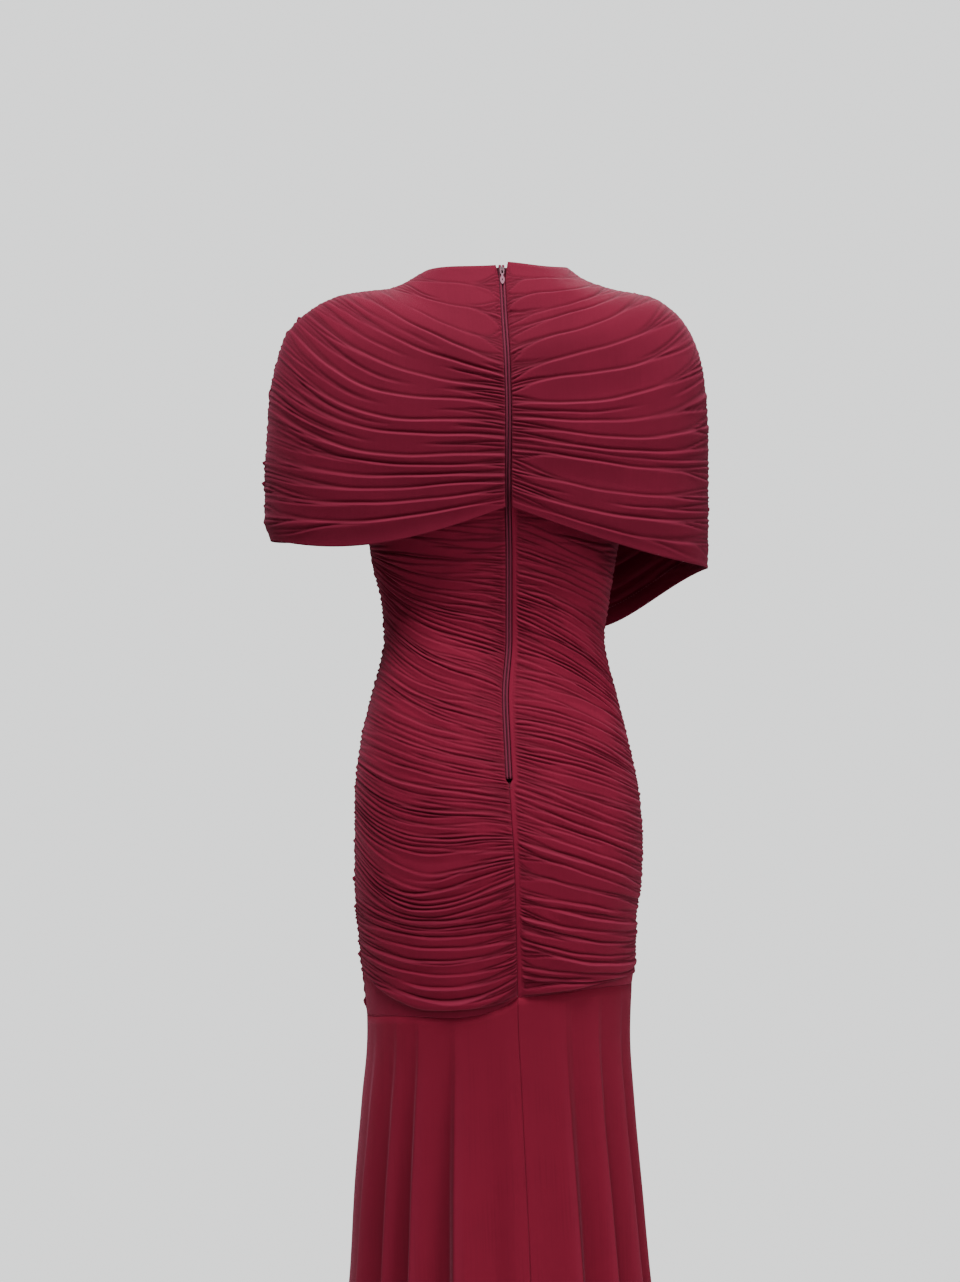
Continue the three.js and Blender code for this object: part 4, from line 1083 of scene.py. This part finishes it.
# the tape's own colour, then the colours of its painted highlight and its painted shade
tape_weave = cloth_material("wine_zip_tape", (0.17, 0.014, 0.036), (0.27, 0.04, 0.085),
                            (0.03, 0.0015, 0.006), 0.0006, 0.2)
TAPE_WALL = 0.5
tape_levels = np.linspace(ZIP_TOP_Z, ZIP_END_Z, 220)
for node, side in (("zip_tape_left", 1), ("zip_tape_right", -1)):
    across, out, painted_lit, dark = (np.stack(part) for part in zip(*(tape_profile(z) for z in tape_levels)))
    line, away = along_zip(tape_levels)
    points = line[:, None] + away[:, None] * out[..., None]
    points[..., 0] += side * across
    lengths = np.stack([across, np.broadcast_to(-tape_levels[:, None], across.shape)], -1)
    outward = side * np.cross(np.gradient(points, axis=1), np.gradient(points, axis=0))
    tape = set_grid(node + "_rolled", points, lengths, {"crease_shade": dark, "crest_highlight": painted_lit}, outward, TAPE_WALL)
    dress(tape, tape_weave, node)

# %% Coil
LOOP_PITCH = 1.2
LOOP_LEAN = math.radians(14)
COIL_DEPTH = 3.2
bm = bmesh.new()
bmesh.ops.create_circle(bm, segments=5, radius=0.25 * MM)
bmesh.ops.rotate(bm, verts=bm.verts, cent=(0, 0, 0), matrix=Matrix.Rotation(math.pi / 2, 3, "X"))
bmesh.ops.translate(bm, verts=bm.verts, vec=(0.42 * MM, 0, 0))
bmesh.ops.spin(bm, geom=bm.verts[:] + bm.edges[:], cent=(0, 0, 0), axis=(0, 0, 1), angle=2 * math.pi,
               steps=8, use_merge=True)
bmesh.ops.remove_doubles(bm, verts=bm.verts, dist=1e-6)
bmesh.ops.scale(bm, verts=bm.verts, vec=(2.7, 1, 1))
bmesh.ops.rotate(bm, verts=bm.verts, cent=(0, 0, 0), matrix=Matrix.Rotation(LOOP_LEAN, 3, "Y"))
bmesh.ops.recalc_face_normals(bm, faces=bm.faces)
loop_mesh = mesh_of(bm, "coil_loop")
bm = bmesh.new()
loop_levels = np.arange(ZIP_TOP_Z - 1, ZIP_END_Z + 1, -LOOP_PITCH)
for point, out in zip(*along_zip(loop_levels)):
    away = Vector(out)
    turned = Matrix(((1, 0, 0), away, Vector((1, 0, 0)).cross(away))).transposed().to_4x4()
    add_transformed(bm, loop_mesh, Matrix.Translation(Vector(point - COIL_DEPTH * out) * MM) @ turned)
coil_mesh = mesh_of(bm, "zip_coil_loops")
coil_mesh.shade_smooth()
coil = placed_object("zip_coil_loops", coil_mesh)
coil_mesh.materials.append(thread_material("wine_nylon", (0.14, 0.02, 0.04)))
belongs(coil, "zip_coil")
print("coil loops", len(loop_levels), "faces", len(coil_mesh.polygons))

# %% [markdown]
# ## Slider and pull tab
# The slider is a small cast plate with a bail over it, and the pull tab is a stamped leaf whose
# eye goes round the bail. Boxes would do for size, but the eye and the narrow neck show. So each
# is a flat outline, filled, given its thickness and bevelled, and then leaned into its place.


# %% Stamped plates
def bend(start, control, end, count=6):
    """Points of a quadratic curve, without its first point."""
    a, b, c = (np.array(p, float) for p in (start, control, end))
    shares = np.linspace(0, 1, count + 1)[1:]
    return [tuple((1 - t) ** 2 * a + 2 * t * (1 - t) * b + t * t * c) for t in shares]


def stamped_plate(name, outlines, thick, edge):
    """A plate from closed outlines in millimetres, the later ones holes, with rounded edges."""
    curve = bpy.data.curves.new(name, "CURVE")
    curve.dimensions = "2D"
    curve.fill_mode = "BOTH"
    curve.extrude = thick / 2 * MM
    for outline in outlines:
        spline = curve.splines.new("POLY")
        spline.points.add(len(outline) - 1)
        for point, (x, y) in zip(spline.points, outline):
            point.co = (x * MM, y * MM, 0, 1)
        spline.use_cyclic_u = True
    shape = bpy.data.objects.new(name, curve)
    mesh = bpy.data.meshes.new_from_object(shape)
    bpy.data.objects.remove(shape)
    bm = bmesh.new()
    bm.from_mesh(mesh)
    bmesh.ops.remove_doubles(bm, verts=bm.verts, dist=1e-6)
    bmesh.ops.recalc_face_normals(bm, faces=bm.faces)
    rims = [e for e in bm.edges if len(e.link_faces) == 2 and abs(e.calc_face_angle()) > 1.2
            and abs(abs(e.verts[0].co.z) - thick / 2 * MM) < 1e-6
            and abs(e.verts[0].co.z - e.verts[1].co.z) < 1e-7]
    bmesh.ops.bevel(bm, geom=rims, offset=edge * MM, offset_type="OFFSET", affect="EDGES", segments=2,
                    profile=0.5, material=-1, clamp_overlap=True)
    bm.to_mesh(mesh)
    bm.free()
    return mesh


def metal_piece(name, parts, material, body, node):
    """Joins plates, each with its place, into one piece that stands for a node."""
    bm = bmesh.new()
    for plate, placed in parts:
        add_transformed(bm, plate, placed)
    mesh = mesh_of(bm, name)
    piece = placed_object(name, mesh)
    mesh.materials.append(material)
    belongs(piece, node, body)
    low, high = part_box(node)
    print(name, "faces", len(mesh.polygons), "solid from", [round(v / MM, 1) for v in low], "to",
          [round(v / MM, 1) for v in high])


# %% Dull metal
def dull_metal(name, dark, bright):
    material, tree, shader = new_material(name)
    where = joined(tree, "ShaderNodeTexCoord")
    wear = noise(tree, where.outputs["Object"], 900.0, 3.0)
    plug(tree, shader, {"Metallic": 0.7, "Base Color": mixed(tree, wear, (*dark, 1), (*bright, 1)),
                        "Roughness": ranged(tree, wear, 0.4, 0.62)})
    return material


rose_metal = dull_metal("rose_metal", (0.17, 0.065, 0.095), (0.29, 0.135, 0.18))
dark_metal = dull_metal("dark_metal", (0.05, 0.03, 0.034), (0.11, 0.07, 0.08))

# %% Where the slider and the pull tab sit
SLIDER_Z = 5
nape_slope = math.atan(float(back_depth(SLIDER_Z - 6) - back_depth(SLIDER_Z + 6)) / 12)
up_zip = Vector((0, -math.sin(nape_slope), math.cos(nape_slope)))
off_zip = Vector((0, math.cos(nape_slope), math.sin(nape_slope)))
origin = Vector((float(centre_line(SLIDER_Z)), float(back_depth(SLIDER_Z)), SLIDER_Z)) * MM
hardware = Matrix.Translation(origin) @ Matrix(((-1, 0, 0), up_zip, off_zip)).transposed().to_4x4()
SLIDER_TOP = 5.7
SLIDER_THICK = 1.4
PULL_AXIS = 7.0
PULL_LEAN = math.radians(7)

# %% Slider
body_outline = [
    (-2.6, 3.5), *bend((-2.6, 3.5), (0, 5.5), (2.6, 3.5)), *bend((2.6, 3.5), (2.7, -1), (2.1, -4.5)),
    *bend((2.1, -4.5), (0, -4.2), (-2.1, -4.5)), *bend((-2.1, -4.5), (-2.7, -1), (-2.6, 3.5))[:-1],
]
bail_outline = [(-3.2, -0.7), (3.2, -0.7), (3.2, 2.3), *bend((3.2, 2.3), (3.2, 3.5), (2, 3.5)),
                (-2, 3.5), *bend((-2, 3.5), (-3.2, 3.5), (-3.2, 2.3))[:-1]]
bail_window = [(-2.2, 0), (2.2, 0), (2.2, 1.9), *bend((2.2, 1.9), (2.2, 2.5), (1.6, 2.5)),
               (-1.6, 2.5), *bend((-1.6, 2.5), (-2.2, 2.5), (-2.2, 1.9))[:-1]]
on_top = Matrix.Translation((0, 0, SLIDER_TOP * MM))
body_place = hardware @ on_top @ Matrix.Translation((0, 0, -SLIDER_THICK / 2 * MM))
bail_place = hardware @ on_top @ Matrix(((0, 0, 1, 0), (1, 0, 0, 0), (0, 1, 0, 0), (0, 0, 0, 1)))
body_plate = stamped_plate("slider_body", [body_outline], SLIDER_THICK, 0.35)
bail_plate = stamped_plate("slider_bail", [bail_outline, bail_window], 1.2, 0.25)
metal_piece("zip_slider_cast", [(body_plate, body_place), (bail_plate, bail_place)],
            dark_metal, "gown", "zip_slider")

# %% Pull tab
right_edge = [
    (1.75, 0.45), (1.75, -4.6), *bend((1.75, -4.6), (0.85, -5.6), (1.15, -7.6)),
    *bend((1.15, -7.6), (2.45, -9.6), (2.45, -11.8)), *bend((2.45, -11.8), (2.3, -15), (0.75, -16.6)),
    *bend((0.75, -16.6), (0.4, -17), (0, -17), 3),
]
leaf = right_edge + [(-x, y) for x, y in reversed(right_edge[:-1])]
eye = [(-1.05, -0.45), (1.05, -0.45), (1.05, -3.6), *bend((1.05, -3.6), (0.9, -4.4), (0, -4.4), 4),
       *bend((0, -4.4), (-0.9, -4.4), (-1.05, -3.6), 4)]
slot = [*bend((0, -10.4), (0.55, -10.4), (0.5, -11.8), 4),
        *bend((0.5, -11.8), (0.4, -13), (0, -13), 4), *bend((0, -13), (-0.4, -13), (-0.5, -11.8), 4),
        *bend((-0.5, -11.8), (-0.55, -10.4), (0, -10.4), 4)]
pull_place = hardware @ Matrix.Translation((0, 0, PULL_AXIS * MM)) @ Matrix.Rotation(PULL_LEAN, 4, "X")
pull_plate = stamped_plate("pull_plate", [leaf, eye, slot], 0.8, 0.22)
metal_piece("zip_pull_leaf", [(pull_plate, pull_place)], rose_metal, "pull_tab", "zip_pull")

# %% Bar tack that closes the lower end of the zip
TACK_GAP = 1.6
TACK_LIFT = 1.6
tack_line, tack_out = along_zip(np.linspace(ZIP_END_Z - 3, ZIP_END_Z - 12, 10))
for k, offset in enumerate((-TACK_GAP, 0, TACK_GAP)):
    line = tack_line + tack_out * TACK_LIFT + np.array([offset, 0, 0])
    tack = row_of_stitches(f"zip_end_tack_{k}", line, tack_out, 1.9, (0.8, 0.32, 0.28))
    tack.data.materials.append(wine_thread)
    belongs(tack)
